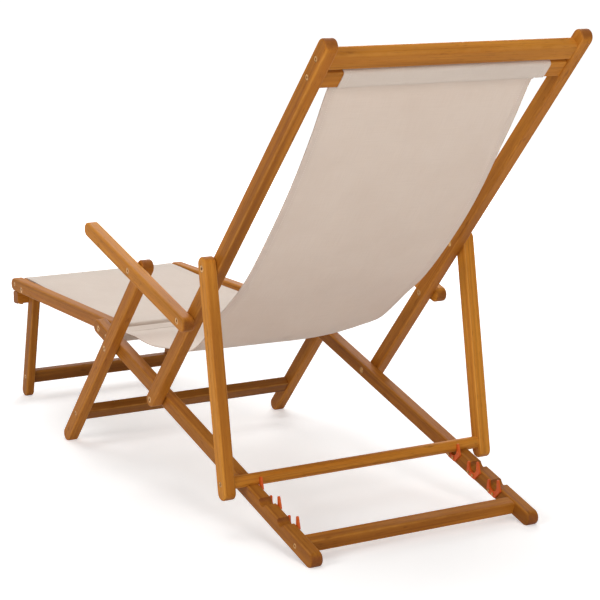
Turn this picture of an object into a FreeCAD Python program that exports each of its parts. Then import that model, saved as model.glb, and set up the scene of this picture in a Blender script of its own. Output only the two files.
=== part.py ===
import FreeCAD, Part
import os
import math
import Sketcher
from FreeCAD import Placement, Rotation, Vector

# Folding sun lounger with armrests, a propped back and a hinged footrest.
# Millimetres. Z is up, the sitter faces -Y, and the sitter's left is +X.

# Timber sections
RAIL_THICKNESS = 25.0
RAIL_DEPTH = 30.0
RAIL_EDGE = 4.0
FOOT_FLAT = 1.0
FOOT_LEG_THICKNESS = 20.0
DOWEL_DIAMETER = 24.0

# Widths across the lounger
OVERALL_WIDTH = 600.0
LAYER_GAP = 0.4

# Angles above the floor, in degrees
BASE_PITCH = 16.4
BACK_ANGLE = 47.6
FOOTREST_ANGLE = 0.6
FOOT_LEG_LEAN = 13.6

# Distances between pivots
FRONT_TO_LEG = 88.0
LEG_TO_BACK = 223.0
BACK_TO_TAIL = 601.0
BASE_FRONT_OVERHANG = 10.0
BACK_TO_ARM = 263.0
BACK_TO_PROP = 420.5
BACK_RAIL_SPAN = 991.0
LEG_TOP_OVERHANG = 7.0
ARM_FRONT_OVERHANG = 200.0
ARM_REAR_OVERHANG = 15.0
PROP_TOP_OVERHANG = 7.0
PROP_FOOT_OVERHANG = 16.0
FOOTREST_SPAN = 542.0
FOOT_LEG_SETBACK = 48.0
FOOT_LEG_PIVOT_DROP = 5.0

# Notches and hooks for the prop dowel
BACK_TO_NOTCH = 357.0
NOTCH_PITCH = 70.0
NOTCH_COUNT = 3
NOTCH_DEPTH = 9.0
DOWEL_SEAT_GAP = 0.3
HOOK_THICKNESS = 4.0
HOOK_TIP_WALL = 4.5
HOOK_FRONT_WALL = 7.0
HOOK_REAR_WALL = 10.5
HOOK_SIDE_GAP = 0.6
HOOK_FRONT_LIFT = 1.0
HOOK_REAR_LIFT = 7.0
HOOK_PLATE_DROP = 28.5
HOOK_SEAT_DROP = 6.5
HOOK_ELBOW_DROP = 14.5
HOOK_SCREW_DROP = 23.0
HOOK_SCREW_SPREAD = 14.0

# Crossbars
TOP_BAR_HEIGHT = 38.0
TOP_BAR_DEPTH = 25.0
TOP_BAR_EDGE = 8.0
TOP_BAR_SETBACK = 26.6
SLING_BAR_HEIGHT = 36.0
SLING_BAR_DEPTH = 22.0
BAR_SLIT = 5.9
BAR_EDGE = 4.0
REAR_BAR_LENGTHWISE = 26.0
REAR_BAR_HEIGHT = 25.0
BACK_TO_REAR_BAR = 555.0
SEAT_BAR_LENGTHWISE = 16.0
SEAT_BAR_HEIGHT = 25.0
SEAT_BAR_TO_FRONT = 38.0
LEG_BAR_HEIGHT = 32.0
LEG_BAR_DEPTH = 22.0
LEG_BAR_BELOW_PIVOT = 235.0
FOOT_BAR_LENGTHWISE = 24.0
FOOT_BAR_HEIGHT = 20.0
FOOT_BAR_RAISE = 2.0
FRONT_BAR_SETBACK = 7.0
HEEL_BAR_LENGTHWISE = 20.0
HEEL_BAR_HEIGHT = 14.0
HEEL_BAR_RAISE = -6.0
HEEL_BAR_POSITION = 17.0
STOP_BAR_LENGTHWISE = 25.0
STOP_BAR_HEIGHT = 28.0
STOP_GAP = 0.3
STOP_SCREW_SETBACK = 4.0
STOP_SCREW_BITE = 9.0
FOOT_LEG_BAR_HEIGHT = 32.0
FOOT_LEG_BAR_DEPTH = 18.0
FOOT_LEG_BAR_POSITION = 230.0

# Fasteners
BOLT_DIAMETER = 8.0
BOLT_HEAD_DIAMETER = 13.0
BOLT_HEAD_HEIGHT = 3.0
BOLT_SINK = 0.3
BOLT_FIT = 0.05
RECESS_CLEARANCE = 0.4
SOCKET_ACROSS = 5.0
SOCKET_DEPTH = 2.0
SCREW_SOCKET_ACROSS = 4.0
SCREW_SOCKET_DEPTH = 1.5
SCREW_DIAMETER = 5.0
SCREW_HEAD_DIAMETER = 10.0
SCREW_HEAD_HEIGHT = 2.5
SCREW_SINK = 0.3
SCREW_LENGTH = 55.0
SCREW_FIT = 0.05
PIN_SCREW_DIAMETER = 3.0
PIN_SCREW_HEAD = 6.0
PIN_SCREW_HEAD_HEIGHT = 1.6
PIN_SCREW_LENGTH = 15.0

# Cloth
CLOTH_THICKNESS = 2.0
CLOTH_GAP = 0.3
SLING_SIDE_GAP = 10.2
FOOT_CLOTH_SIDE_GAP = 6.8
HEM_STOP = 2.0
BACK_SAG = 42.3
SEAT_RISE = 107.0
FOOT_CLOTH_SAG = 3.0

# Shared values worked out from the sizes above
HALF_DEPTH = RAIL_DEPTH / 2.0
FOOT_LIFT = HALF_DEPTH - FOOT_FLAT
FRONT_BAR_POSITION = FOOTREST_SPAN - FRONT_BAR_SETBACK
FOOTREST_TO_FOOT_LEG = FOOTREST_SPAN - FOOT_LEG_SETBACK
OUTER_X = OVERALL_WIDTH / 2.0
ARM_IN = OUTER_X - RAIL_THICKNESS
BACK_OUT = ARM_IN - LAYER_GAP
BACK_IN = BACK_OUT - RAIL_THICKNESS
BASE_OUT = BACK_IN - LAYER_GAP
BASE_IN = BASE_OUT - RAIL_THICKNESS
FOOT_OUT = BASE_IN - LAYER_GAP
FOOT_IN = FOOT_OUT - RAIL_THICKNESS
SHIN_OUT = FOOT_IN - LAYER_GAP
SHIN_IN = SHIN_OUT - FOOT_LEG_THICKNESS
NOTCH_RADIUS = DOWEL_DIAMETER / 2.0 + DOWEL_SEAT_GAP
NOTCH_RISE = HALF_DEPTH - NOTCH_DEPTH + NOTCH_RADIUS
BACK_TO_TOP_BAR = BACK_RAIL_SPAN - TOP_BAR_SETBACK
BACK_TO_SLING_BAR = BACK_TO_TOP_BAR - (TOP_BAR_HEIGHT + SLING_BAR_HEIGHT) / 2.0 - BAR_SLIT
SLING_WIDTH = 2.0 * (BASE_IN - SLING_SIDE_GAP)
FOOT_CLOTH_WIDTH = 2.0 * (FOOT_IN - FOOT_CLOTH_SIDE_GAP)

# Side view of the hanging cloth: shares of its length and of its sag or rise
BACK_DRAPE = [(0.944, 0.09), (0.868, 0.385), (0.792, 0.61), (0.705, 0.811), (0.564, 1.0)]
BACK_DRAPE += [(0.4775, 0.976), (0.38, 0.74), (0.2985, 0.362)]
SEAT_DRAPE = [(0.1264, 1.0), (-0.1868, 0.631), (-0.4205, 0.3673), (-0.623, 0.2224), (-0.86, 0.0692)]
FOOT_DRAPE = [(0.22, 0.62), (0.5, 1.0), (0.78, 0.5)]


def unit(angle):
    """Direction in the side view for an angle in degrees, as (y, z)."""
    turn = math.radians(angle)
    return (math.cos(turn), math.sin(turn))


def along(start, angle, length, rise=0.0):
    """Point at a length along a direction and a rise square to it."""
    run = unit(angle)
    return (start[0] + run[0] * length - run[1] * rise, start[1] + run[1] * length + run[0] * rise)


def side_placement(angle, point, x):
    """Placement of a side-view part: local X along it, local Z across the lounger."""
    run = unit(angle)
    axis_x = Vector(0.0, run[0], run[1])
    axis_y = Vector(0.0, -run[1], run[0])
    turn = Rotation(axis_x, axis_y, Vector(1.0, 0.0, 0.0), "XYZ")
    return Placement(Vector(x, point[0], point[1]), turn)


def profile():
    """Side-view points of every pivot, with the whole length centred on Y."""
    base_angle = -BASE_PITCH
    lift = BACK_TO_TAIL * math.sin(math.radians(BASE_PITCH)) + FOOT_LIFT
    foot_angle = 180.0 - FOOTREST_ANGLE
    back = (0.0, lift)
    front = along(back, base_angle, -(FRONT_TO_LEG + LEG_TO_BACK))
    toe = along(front, foot_angle, FOOTREST_SPAN)
    shin = along(front, foot_angle, FOOTREST_TO_FOOT_LEG, FOOT_LEG_PIVOT_DROP)
    foot = shin[0] - (shin[1] - FOOT_LIFT) * math.tan(math.radians(FOOT_LEG_LEAN))
    crown = along(back, BACK_ANGLE, BACK_RAIL_SPAN)
    shift = -0.5 * (min(toe[0], foot) + crown[0])
    points = {}
    points["back"] = (shift, lift)
    back = points["back"]
    points["leg"] = along(back, base_angle, -LEG_TO_BACK)
    points["front"] = along(back, base_angle, -(FRONT_TO_LEG + LEG_TO_BACK))
    points["base_nose"] = along(points["front"], base_angle, -BASE_FRONT_OVERHANG)
    points["arm_back"] = along(back, BACK_ANGLE, BACK_TO_ARM)
    points["arm_leg"] = along(points["leg"], BACK_ANGLE, BACK_TO_ARM)
    points["prop"] = along(back, BACK_ANGLE, BACK_TO_PROP)
    points["dowel"] = along(back, base_angle, BACK_TO_NOTCH, NOTCH_RISE)
    points["shin"] = along(points["front"], foot_angle, FOOTREST_TO_FOOT_LEG, FOOT_LEG_PIVOT_DROP)
    return points


POINTS = profile()
BASE_ANGLE = -BASE_PITCH
FOOT_ANGLE = 180.0 - FOOTREST_ANGLE
SHIN_ANGLE = -90.0 - FOOT_LEG_LEAN
LEG_FOOT = (POINTS["leg"][1] - FOOT_LIFT) / math.sin(math.radians(BACK_ANGLE))
SHIN_SPAN = (POINTS["shin"][1] - FOOT_LIFT) / math.cos(math.radians(FOOT_LEG_LEAN))
PROP_RUN = (POINTS["dowel"][0] - POINTS["prop"][0], POINTS["dowel"][1] - POINTS["prop"][1])
PROP_LENGTH = math.hypot(PROP_RUN[0], PROP_RUN[1])
PROP_ANGLE = math.degrees(math.atan2(PROP_RUN[1], PROP_RUN[0]))
BASE_LEG_POSITION = BASE_FRONT_OVERHANG + FRONT_TO_LEG
BASE_BACK_POSITION = BASE_LEG_POSITION + LEG_TO_BACK

doc = FreeCAD.newDocument("sun_lounger")
sheet = doc.addObject("Spreadsheet::Sheet", "dims")
EXPORTS = []

CELLS = [
    ("rail_thickness", RAIL_THICKNESS),
    ("half_depth", HALF_DEPTH),
    ("rail_edge", RAIL_EDGE),
    ("foot_leg_thickness", FOOT_LEG_THICKNESS),
    ("dowel_radius", DOWEL_DIAMETER / 2.0),
    ("base_span", BASE_BACK_POSITION + BACK_TO_TAIL),
    ("back_span", BACK_RAIL_SPAN),
    ("leg_span", LEG_FOOT + BACK_TO_ARM + LEG_TOP_OVERHANG),
    ("arm_span", ARM_FRONT_OVERHANG + LEG_TO_BACK + ARM_REAR_OVERHANG),
    ("prop_span", PROP_TOP_OVERHANG + PROP_LENGTH + PROP_FOOT_OVERHANG),
    ("footrest_span", FOOTREST_SPAN),
    ("foot_leg_span", SHIN_SPAN),
    ("bolt_hole", BOLT_DIAMETER / 2.0 + BOLT_FIT),
    ("bolt_recess", BOLT_HEAD_DIAMETER / 2.0 + RECESS_CLEARANCE),
    ("bolt_recess_depth", BOLT_HEAD_HEIGHT + BOLT_SINK),
    ("screw_hole", SCREW_DIAMETER / 2.0 + SCREW_FIT),
    ("screw_recess", SCREW_HEAD_DIAMETER / 2.0 + RECESS_CLEARANCE),
    ("screw_recess_depth", SCREW_HEAD_HEIGHT + SCREW_SINK),
    ("notch_radius", NOTCH_RADIUS),
    ("notch_rise", NOTCH_RISE),
    ("back_width", 2.0 * BACK_IN),
    ("base_width", 2.0 * BASE_IN),
    ("foot_width", 2.0 * FOOT_IN),
    ("shin_width", 2.0 * SHIN_IN),
    ("prop_width", 2.0 * ARM_IN),
    ("stop_width", 2.0 * FOOT_OUT),
    ("bar_edge", BAR_EDGE),
    ("top_bar_edge", TOP_BAR_EDGE),
    ("top_bar_height", TOP_BAR_HEIGHT),
    ("top_bar_depth", TOP_BAR_DEPTH),
    ("sling_bar_height", SLING_BAR_HEIGHT),
    ("sling_bar_depth", SLING_BAR_DEPTH),
    ("rear_bar_lengthwise", REAR_BAR_LENGTHWISE),
    ("rear_bar_height", REAR_BAR_HEIGHT),
    ("seat_bar_lengthwise", SEAT_BAR_LENGTHWISE),
    ("seat_bar_height", SEAT_BAR_HEIGHT),
    ("leg_bar_height", LEG_BAR_HEIGHT),
    ("leg_bar_depth", LEG_BAR_DEPTH),
    ("foot_bar_lengthwise", FOOT_BAR_LENGTHWISE),
    ("foot_bar_height", FOOT_BAR_HEIGHT),
    ("heel_bar_lengthwise", HEEL_BAR_LENGTHWISE),
    ("heel_bar_height", HEEL_BAR_HEIGHT),
    ("stop_bar_lengthwise", STOP_BAR_LENGTHWISE),
    ("stop_bar_height", STOP_BAR_HEIGHT),
    ("foot_leg_bar_height", FOOT_LEG_BAR_HEIGHT),
    ("foot_leg_bar_depth", FOOT_LEG_BAR_DEPTH),
]


def fill_sheet():
    """Write the driving dimensions, one named cell in each row."""
    for row, (alias, value) in enumerate(CELLS, start=1):
        sheet.set("A%d" % row, alias)
        sheet.set("B%d" % row, "%.6f" % value)
        sheet.setAlias("B%d" % row, alias)
    doc.recompute()


def origin_plane(body, role):
    """The body's own origin plane with a given role."""
    return [item for item in body.Origin.OriginFeatures if item.Role == role][0]


def new_sketch(body, name, offset=0.0):
    """A sketch on the body's XY plane, moved along its normal."""
    sketch = body.newObject("Sketcher::SketchObject", name)
    sketch.AttachmentSupport = [(origin_plane(body, "XY_Plane"), "")]
    sketch.MapMode = "FlatFace"
    sketch.AttachmentOffset = Placement(Vector(0.0, 0.0, offset), Rotation())
    return sketch


def bind(sketch, index, name, cell):
    """Name a constraint and drive it from a cell."""
    sketch.renameConstraint(index, name)
    sketch.setExpression("Constraints." + name, "dims." + cell)


def slot_outline(sketch, span, span_cell):
    """A straight bar outline with full-round ends."""
    up = Vector(0.0, 0.0, 1.0)
    half = math.pi / 2.0
    left = Part.ArcOfCircle(Part.Circle(Vector(0.0, 0.0, 0.0), up, HALF_DEPTH), half, 3.0 * half)
    right = Part.ArcOfCircle(Part.Circle(Vector(span, 0.0, 0.0), up, HALF_DEPTH), -half, half)
    top = Part.LineSegment(Vector(0.0, HALF_DEPTH, 0.0), Vector(span, HALF_DEPTH, 0.0))
    low = Part.LineSegment(Vector(0.0, -HALF_DEPTH, 0.0), Vector(span, -HALF_DEPTH, 0.0))
    a0 = sketch.addGeometry(left, False)
    a1 = sketch.addGeometry(right, False)
    l0 = sketch.addGeometry(top, False)
    l1 = sketch.addGeometry(low, False)
    sketch.addConstraint(Sketcher.Constraint("Tangent", a0, 1, l0, 1))
    sketch.addConstraint(Sketcher.Constraint("Tangent", a0, 2, l1, 1))
    sketch.addConstraint(Sketcher.Constraint("Tangent", a1, 1, l1, 2))
    sketch.addConstraint(Sketcher.Constraint("Tangent", a1, 2, l0, 2))
    sketch.addConstraint(Sketcher.Constraint("Coincident", a0, 3, -1, 1))
    sketch.addConstraint(Sketcher.Constraint("PointOnObject", a1, 3, -1))
    sketch.addConstraint(Sketcher.Constraint("Equal", a0, a1))
    size = sketch.addConstraint(Sketcher.Constraint("Radius", a0, HALF_DEPTH))
    bind(sketch, size, "end_radius", "half_depth")
    reach = sketch.addConstraint(Sketcher.Constraint("DistanceX", -1, 1, a1, 3, span))
    bind(sketch, reach, "span", span_cell)


def add_circle(sketch, number, x, y, radius, radius_cell):
    """A circle held by its centre and a radius from the sheet."""
    shape = Part.Circle(Vector(x, y, 0.0), Vector(0.0, 0.0, 1.0), radius)
    item = sketch.addGeometry(shape, False)
    if abs(x) < 1e-6:
        sketch.addConstraint(Sketcher.Constraint("PointOnObject", item, 3, -2))
    else:
        sketch.addConstraint(Sketcher.Constraint("DistanceX", -1, 1, item, 3, x))
    if abs(y) < 1e-6:
        sketch.addConstraint(Sketcher.Constraint("PointOnObject", item, 3, -1))
    else:
        sketch.addConstraint(Sketcher.Constraint("DistanceY", -1, 1, item, 3, y))
    size = sketch.addConstraint(Sketcher.Constraint("Radius", item, radius))
    bind(sketch, size, "radius_%d" % number, radius_cell)


def drill(body, name, spots, radius, radius_cell, offset=0.0, depth_cell=None, inward=True):
    """Cut round holes at (x, y) spots, right through or to a depth from one face."""
    if not spots:
        return
    sketch = new_sketch(body, name + "_sketch", offset)
    for number, (x, y) in enumerate(spots):
        add_circle(sketch, number, x, y, radius, radius_cell)
    pocket = body.newObject("PartDesign::Pocket", name)
    pocket.Profile = sketch
    if depth_cell is None:
        pocket.Type = 1
        pocket.Midplane = True
    else:
        pocket.setExpression("Length", "dims." + depth_cell)
        pocket.Reversed = not inward
    doc.recompute()
    body.Tip = pocket


def round_edges(body, pad, cell, edges, radius):
    """Round the named edges of a pad."""
    fillet = body.newObject("PartDesign::Fillet", body.Name + "_rounding")
    fillet.Base = (pad, edges)
    fillet.Radius = radius
    fillet.setExpression("Radius", "dims." + cell)
    doc.recompute()
    body.Tip = fillet


def finish(item, name):
    """Label a node and put it on the list of files."""
    item.Label = name
    EXPORTS.append((name, item))


def make_rail(name, span, span_cell, angle, start, x_low, outer_high, holes, thick=None):
    """A round-ended rail in the side view with its bolt and screw holes.

    holes is a list of (position, rise, kind). Kinds: bolt_head and bolt_nut are bolt holes
    with a recess in the outer or the inner face, screw_head is a screw hole with a recess
    in the outer face.
    """
    thickness = RAIL_THICKNESS if thick is None else FOOT_LEG_THICKNESS
    cell = "rail_thickness" if thick is None else "foot_leg_thickness"
    body = doc.addObject("PartDesign::Body", name)
    outline = new_sketch(body, name + "_outline")
    slot_outline(outline, span, span_cell)
    pad = body.newObject("PartDesign::Pad", name + "_pad")
    pad.Profile = outline
    pad.setExpression("Length", "dims." + cell)
    doc.recompute()
    edges = []
    for number, edge in enumerate(pad.Shape.Edges, start=1):
        box = edge.BoundBox
        if box.ZLength < 1e-6:
            edges.append("Edge%d" % number)
    round_edges(body, pad, "rail_edge", edges, RAIL_EDGE)
    bolts = [(p, r) for p, r, kind in holes if kind.startswith("bolt")]
    heads = [(p, r) for p, r, kind in holes if kind == "bolt_head"]
    nuts = [(p, r) for p, r, kind in holes if kind == "bolt_nut"]
    screws = [(p, r) for p, r, kind in holes if kind == "screw_head"]
    bolt_recess = BOLT_HEAD_DIAMETER / 2.0 + RECESS_CLEARANCE
    screw_recess = SCREW_HEAD_DIAMETER / 2.0 + RECESS_CLEARANCE
    outer = thickness if outer_high else 0.0
    inner = 0.0 if outer_high else thickness
    drill(body, name + "_bolts", bolts, BOLT_DIAMETER / 2.0 + BOLT_FIT, "bolt_hole")
    drill(body, name + "_heads", heads, bolt_recess, "bolt_recess", outer, "bolt_recess_depth", outer_high)
    drill(body, name + "_nuts", nuts, bolt_recess, "bolt_recess", inner, "bolt_recess_depth", not outer_high)
    drill(body, name + "_screws", screws, SCREW_DIAMETER / 2.0 + SCREW_FIT, "screw_hole")
    drill(body, name + "_sinks", screws, screw_recess, "screw_recess", outer, "screw_recess_depth", outer_high)
    body.Placement = side_placement(angle, start, x_low)
    finish(body, name)
    return body


def trim_foot(rail, position, angle):
    """Cut the small flat on which a rail's round end stands on the floor."""
    sketch = new_sketch(rail, rail.Name + "_flat_sketch")
    run = unit(-angle)
    reach = RAIL_DEPTH
    corners = []
    for step, drop in ((-1.0, FOOT_LIFT), (1.0, FOOT_LIFT), (1.0, RAIL_DEPTH), (-1.0, RAIL_DEPTH)):
        x = position + run[0] * reach * step + run[1] * drop
        y = run[1] * reach * step - run[0] * drop
        corners.append(Vector(x, y, 0.0))
    lines = []
    for here, there in zip(corners, corners[1:] + corners[:1]):
        lines.append(sketch.addGeometry(Part.LineSegment(here, there), False))
    for one, two in zip(lines, lines[1:] + lines[:1]):
        sketch.addConstraint(Sketcher.Constraint("Coincident", one, 2, two, 1))
    pocket = rail.newObject("PartDesign::Pocket", rail.Name + "_flat")
    pocket.Profile = sketch
    pocket.Type = 1
    pocket.Midplane = True
    doc.recompute()
    rail.Tip = pocket


def drill_upward(body, name, spots, level, depth=None):
    """Screw holes square to a part's length, right through or inward from its lower face."""
    sketch = body.newObject("Sketcher::SketchObject", name + "_sketch")
    sketch.AttachmentSupport = [(origin_plane(body, "XZ_Plane"), "")]
    sketch.MapMode = "FlatFace"
    sketch.AttachmentOffset = Placement(Vector(0.0, 0.0, -level), Rotation())
    for number, (x, z) in enumerate(spots):
        add_circle(sketch, number, x, z, SCREW_DIAMETER / 2.0 + SCREW_FIT, "screw_hole")
    pocket = body.newObject("PartDesign::Pocket", name)
    pocket.Profile = sketch
    if depth is None:
        pocket.Type = 1
        pocket.Midplane = True
    else:
        pocket.Length = depth
        pocket.Reversed = True
    before = body.Shape.Volume
    doc.recompute()
    body.Tip = pocket
    doc.recompute()
    print(name, "cut", round(before - body.Shape.Volume, 1))


def make_rail_pair(name, span, span_cell, angle, start, inner_x, holes, thick=None):
    """The left and the right rail of a pair."""
    outer_x = inner_x + (RAIL_THICKNESS if thick is None else FOOT_LEG_THICKNESS)
    left = make_rail(name + "_left", span, span_cell, angle, start, inner_x, True, holes, thick)
    right = make_rail(name + "_right", span, span_cell, angle, start, -outer_x, False, holes, thick)
    return left, right


def make_bar(name, size, cells, width, width_cell, edge, edge_cell, angle, centre, pilots=True, thick=None):
    """A crossbar with rounded long edges and a pilot hole in each end."""
    thick = RAIL_THICKNESS if thick is None else thick
    body = doc.addObject("PartDesign::Body", name)
    sketch = new_sketch(body, name + "_outline")
    half_x = size[0] / 2.0
    half_y = size[1] / 2.0
    corners = [(-half_x, -half_y), (half_x, -half_y), (half_x, half_y), (-half_x, half_y)]
    lines = []
    for here, there in zip(corners, corners[1:] + corners[:1]):
        segment = Part.LineSegment(Vector(here[0], here[1], 0.0), Vector(there[0], there[1], 0.0))
        lines.append(sketch.addGeometry(segment, False))
    for one, two in zip(lines, lines[1:] + lines[:1]):
        sketch.addConstraint(Sketcher.Constraint("Coincident", one, 2, two, 1))
    sketch.addConstraint(Sketcher.Constraint("Horizontal", lines[0]))
    sketch.addConstraint(Sketcher.Constraint("Horizontal", lines[2]))
    sketch.addConstraint(Sketcher.Constraint("Vertical", lines[1]))
    sketch.addConstraint(Sketcher.Constraint("Vertical", lines[3]))
    sketch.addConstraint(Sketcher.Constraint("Symmetric", lines[0], 1, lines[2], 1, -1, 1))
    long_side = sketch.addConstraint(Sketcher.Constraint("DistanceX", lines[0], 1, lines[0], 2, size[0]))
    bind(sketch, long_side, "size_along", cells[0])
    short_side = sketch.addConstraint(Sketcher.Constraint("DistanceY", lines[1], 1, lines[1], 2, size[1]))
    bind(sketch, short_side, "size_across", cells[1])
    pad = body.newObject("PartDesign::Pad", name + "_pad")
    pad.Profile = sketch
    pad.Midplane = True
    pad.setExpression("Length", "dims." + width_cell)
    doc.recompute()
    edges = []
    for number, item in enumerate(pad.Shape.Edges, start=1):
        if item.BoundBox.ZLength > width / 2.0:
            edges.append("Edge%d" % number)
    round_edges(body, pad, edge_cell, edges, edge)
    if pilots:
        pilot_bar(body, name, width, thick)
    body.Placement = side_placement(angle, centre, 0.0)
    finish(body, name)
    return body


def pilot_bar(body, name, width, thick):
    """Pilot holes for the screws in both ends of a crossbar, for rails of one thickness."""
    reach = SCREW_LENGTH - thick + 1.0
    for tag, offset, inward in (("near", width / 2.0, True), ("far", -width / 2.0, False)):
        sketch = new_sketch(body, name + "_" + tag + "_sketch", offset)
        add_circle(sketch, 0, 0.0, 0.0, SCREW_DIAMETER / 2.0 + SCREW_FIT, "screw_hole")
        pocket = body.newObject("PartDesign::Pocket", name + "_" + tag)
        pocket.Profile = sketch
        pocket.Length = reach
        pocket.Reversed = not inward
        doc.recompute()
        body.Tip = pocket


def make_dowel():
    """The round bar between the prop legs that lies in the notches."""
    width = 2.0 * ARM_IN
    body = doc.addObject("PartDesign::Body", "prop_dowel")
    sketch = new_sketch(body, "prop_dowel_outline")
    add_circle(sketch, 0, 0.0, 0.0, DOWEL_DIAMETER / 2.0, "dowel_radius")
    pad = body.newObject("PartDesign::Pad", "prop_dowel_pad")
    pad.Profile = sketch
    pad.Midplane = True
    pad.setExpression("Length", "dims.prop_width")
    doc.recompute()
    body.Tip = pad
    pilot_bar(body, "prop_dowel", width, RAIL_THICKNESS)
    body.Placement = side_placement(PROP_ANGLE, POINTS["dowel"], 0.0)
    finish(body, "prop_dowel")


def add_coded(name, shape):
    """A node whose shape is worked out in code."""
    item = doc.addObject("Part::Feature", name)
    item.Shape = shape
    finish(item, name)
    return item


def cylinder(radius, start, end):
    """A cylinder across the lounger between two X positions."""
    low = min(start, end)
    return Part.makeCylinder(radius, abs(end - start), Vector(low, 0.0, 0.0), Vector(1.0, 0.0, 0.0))


def make_bolt(point, outer_x, inner_x, sign):
    """A pivot bolt with a socket head in the outer face and a sleeve nut in the inner one."""
    head_out = sign * (outer_x - BOLT_SINK)
    head_in = sign * (outer_x - BOLT_SINK - BOLT_HEAD_HEIGHT)
    nut_out = sign * (inner_x + BOLT_SINK)
    nut_in = sign * (inner_x + BOLT_SINK + BOLT_HEAD_HEIGHT)
    shape = cylinder(BOLT_DIAMETER / 2.0, head_in, nut_in)
    shape = shape.fuse(cylinder(BOLT_HEAD_DIAMETER / 2.0, head_in, head_out))
    shape = shape.fuse(cylinder(BOLT_HEAD_DIAMETER / 2.0, nut_out, nut_in))
    shape = shape.cut(make_socket(head_out, sign, SOCKET_ACROSS, SOCKET_DEPTH))
    shape.translate(Vector(0.0, point[0], point[1]))
    return shape


def make_socket(face_x, sign, across, depth):
    """The hexagon socket of a bolt or screw head."""
    radius = across / math.sqrt(3.0)
    ring = []
    for step in range(7):
        turn = math.radians(60.0 * step)
        ring.append(Vector(face_x, radius * math.cos(turn), radius * math.sin(turn)))
    face = Part.Face(Part.makePolygon(ring))
    return face.extrude(Vector(-sign * depth, 0.0, 0.0))


def make_screw(point, outer_x, sign):
    """A countersunk socket screw driven through a rail into a bar's end."""
    face = sign * (outer_x - SCREW_SINK)
    seat = sign * (outer_x - SCREW_SINK - SCREW_HEAD_HEIGHT)
    tip = sign * (outer_x - SCREW_LENGTH)
    shape = cylinder(SCREW_DIAMETER / 2.0, seat, tip)
    shape = shape.fuse(cylinder(SCREW_HEAD_DIAMETER / 2.0, seat, face))
    shape = shape.cut(make_socket(face, sign, SCREW_SOCKET_ACROSS, SCREW_SOCKET_DEPTH))
    shape.translate(Vector(0.0, point[0], point[1]))
    return shape


def bolt_group(name, spots):
    """A node of identical bolts, one at each end of every (point, outer, inner) pivot."""
    solids = []
    for point, outer_x, inner_x in spots:
        solids.append(make_bolt(point, outer_x, inner_x, 1.0))
        solids.append(make_bolt(point, outer_x, inner_x, -1.0))
    add_coded(name, Part.makeCompound(solids))


def screw_group(name, spots):
    """A node of identical screws, one at each end of every (point, outer) bar."""
    solids = []
    for point, outer_x in spots:
        solids.append(make_screw(point, outer_x, 1.0))
        solids.append(make_screw(point, outer_x, -1.0))
    add_coded(name, Part.makeCompound(solids))


def make_base():
    """The base rails with their notches, and the two bars between them."""
    holes = [
        (BASE_FRONT_OVERHANG, 0.0, "bolt_head"),
        (BASE_LEG_POSITION, 0.0, "bolt_nut"),
        (BASE_BACK_POSITION, 0.0, "bolt_nut"),
        (BASE_FRONT_OVERHANG + SEAT_BAR_TO_FRONT, 0.0, "screw_head"),
        (BASE_BACK_POSITION + BACK_TO_REAR_BAR, 0.0, "screw_head"),
    ]
    span = BASE_BACK_POSITION + BACK_TO_TAIL
    pair = make_rail_pair("base_rail", span, "base_span", BASE_ANGLE, POINTS["base_nose"], BASE_IN, holes)
    notches = []
    for step in range(NOTCH_COUNT):
        notches.append((BASE_BACK_POSITION + BACK_TO_NOTCH + step * NOTCH_PITCH, NOTCH_RISE))
    for rail in pair:
        drill(rail, rail.Name + "_notches", notches, NOTCH_RADIUS, "notch_radius")
        trim_foot(rail, span, BASE_ANGLE)
    rear = along(POINTS["back"], BASE_ANGLE, BACK_TO_REAR_BAR)
    size = (REAR_BAR_LENGTHWISE, REAR_BAR_HEIGHT)
    cells = ("rear_bar_lengthwise", "rear_bar_height")
    make_bar("rear_crossbar", size, cells, 2.0 * BASE_IN, "base_width", BAR_EDGE, "bar_edge", BASE_ANGLE, rear)
    seat = along(POINTS["front"], BASE_ANGLE, SEAT_BAR_TO_FRONT)
    size = (SEAT_BAR_LENGTHWISE, SEAT_BAR_HEIGHT)
    cells = ("seat_bar_lengthwise", "seat_bar_height")
    make_bar("seat_sling_bar", size, cells, 2.0 * BASE_IN, "base_width", BAR_EDGE, "bar_edge", BASE_ANGLE, seat)
    screw_group("base_screws", [(rear, BASE_OUT), (seat, BASE_OUT)])


def upright(across, rise):
    """Point near a notch, from its distances to the rear and straight up."""
    run = unit(BASE_PITCH)
    return (across * run[0] - rise * run[1], across * run[1] + rise * run[0])


def hook_outline():
    """Side-view outline of one hook about its notch centre, with prongs that stand upright."""
    inner = DOWEL_DIAMETER / 2.0 + HOOK_SIDE_GAP
    tip = inner + HOOK_TIP_WALL
    front = HOOK_FRONT_LIFT
    rear = HOOK_REAR_LIFT
    drop = -HOOK_PLATE_DROP
    lead = 1.5
    return {
        "outer": [
            upright(-tip, front - lead),
            upright(-inner - HOOK_FRONT_WALL, -HOOK_ELBOW_DROP),
            (-inner - 2.0, drop + 7.0),
            (-inner + 3.5, drop),
            (inner + 1.0, drop),
            upright(inner + HOOK_REAR_WALL, -HOOK_ELBOW_DROP),
            upright(tip, rear - lead),
            upright(tip - lead, rear),
            upright(inner + lead * 0.4, rear),
            upright(inner, rear - lead),
        ],
        "seat": [upright(inner, -HOOK_SEAT_DROP), upright(0.0, -inner - HOOK_SEAT_DROP), upright(-inner, -HOOK_SEAT_DROP)],
        "front": [upright(-inner, front - lead), upright(-inner - lead, front), upright(-tip + lead * 0.4, front)],
    }


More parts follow.
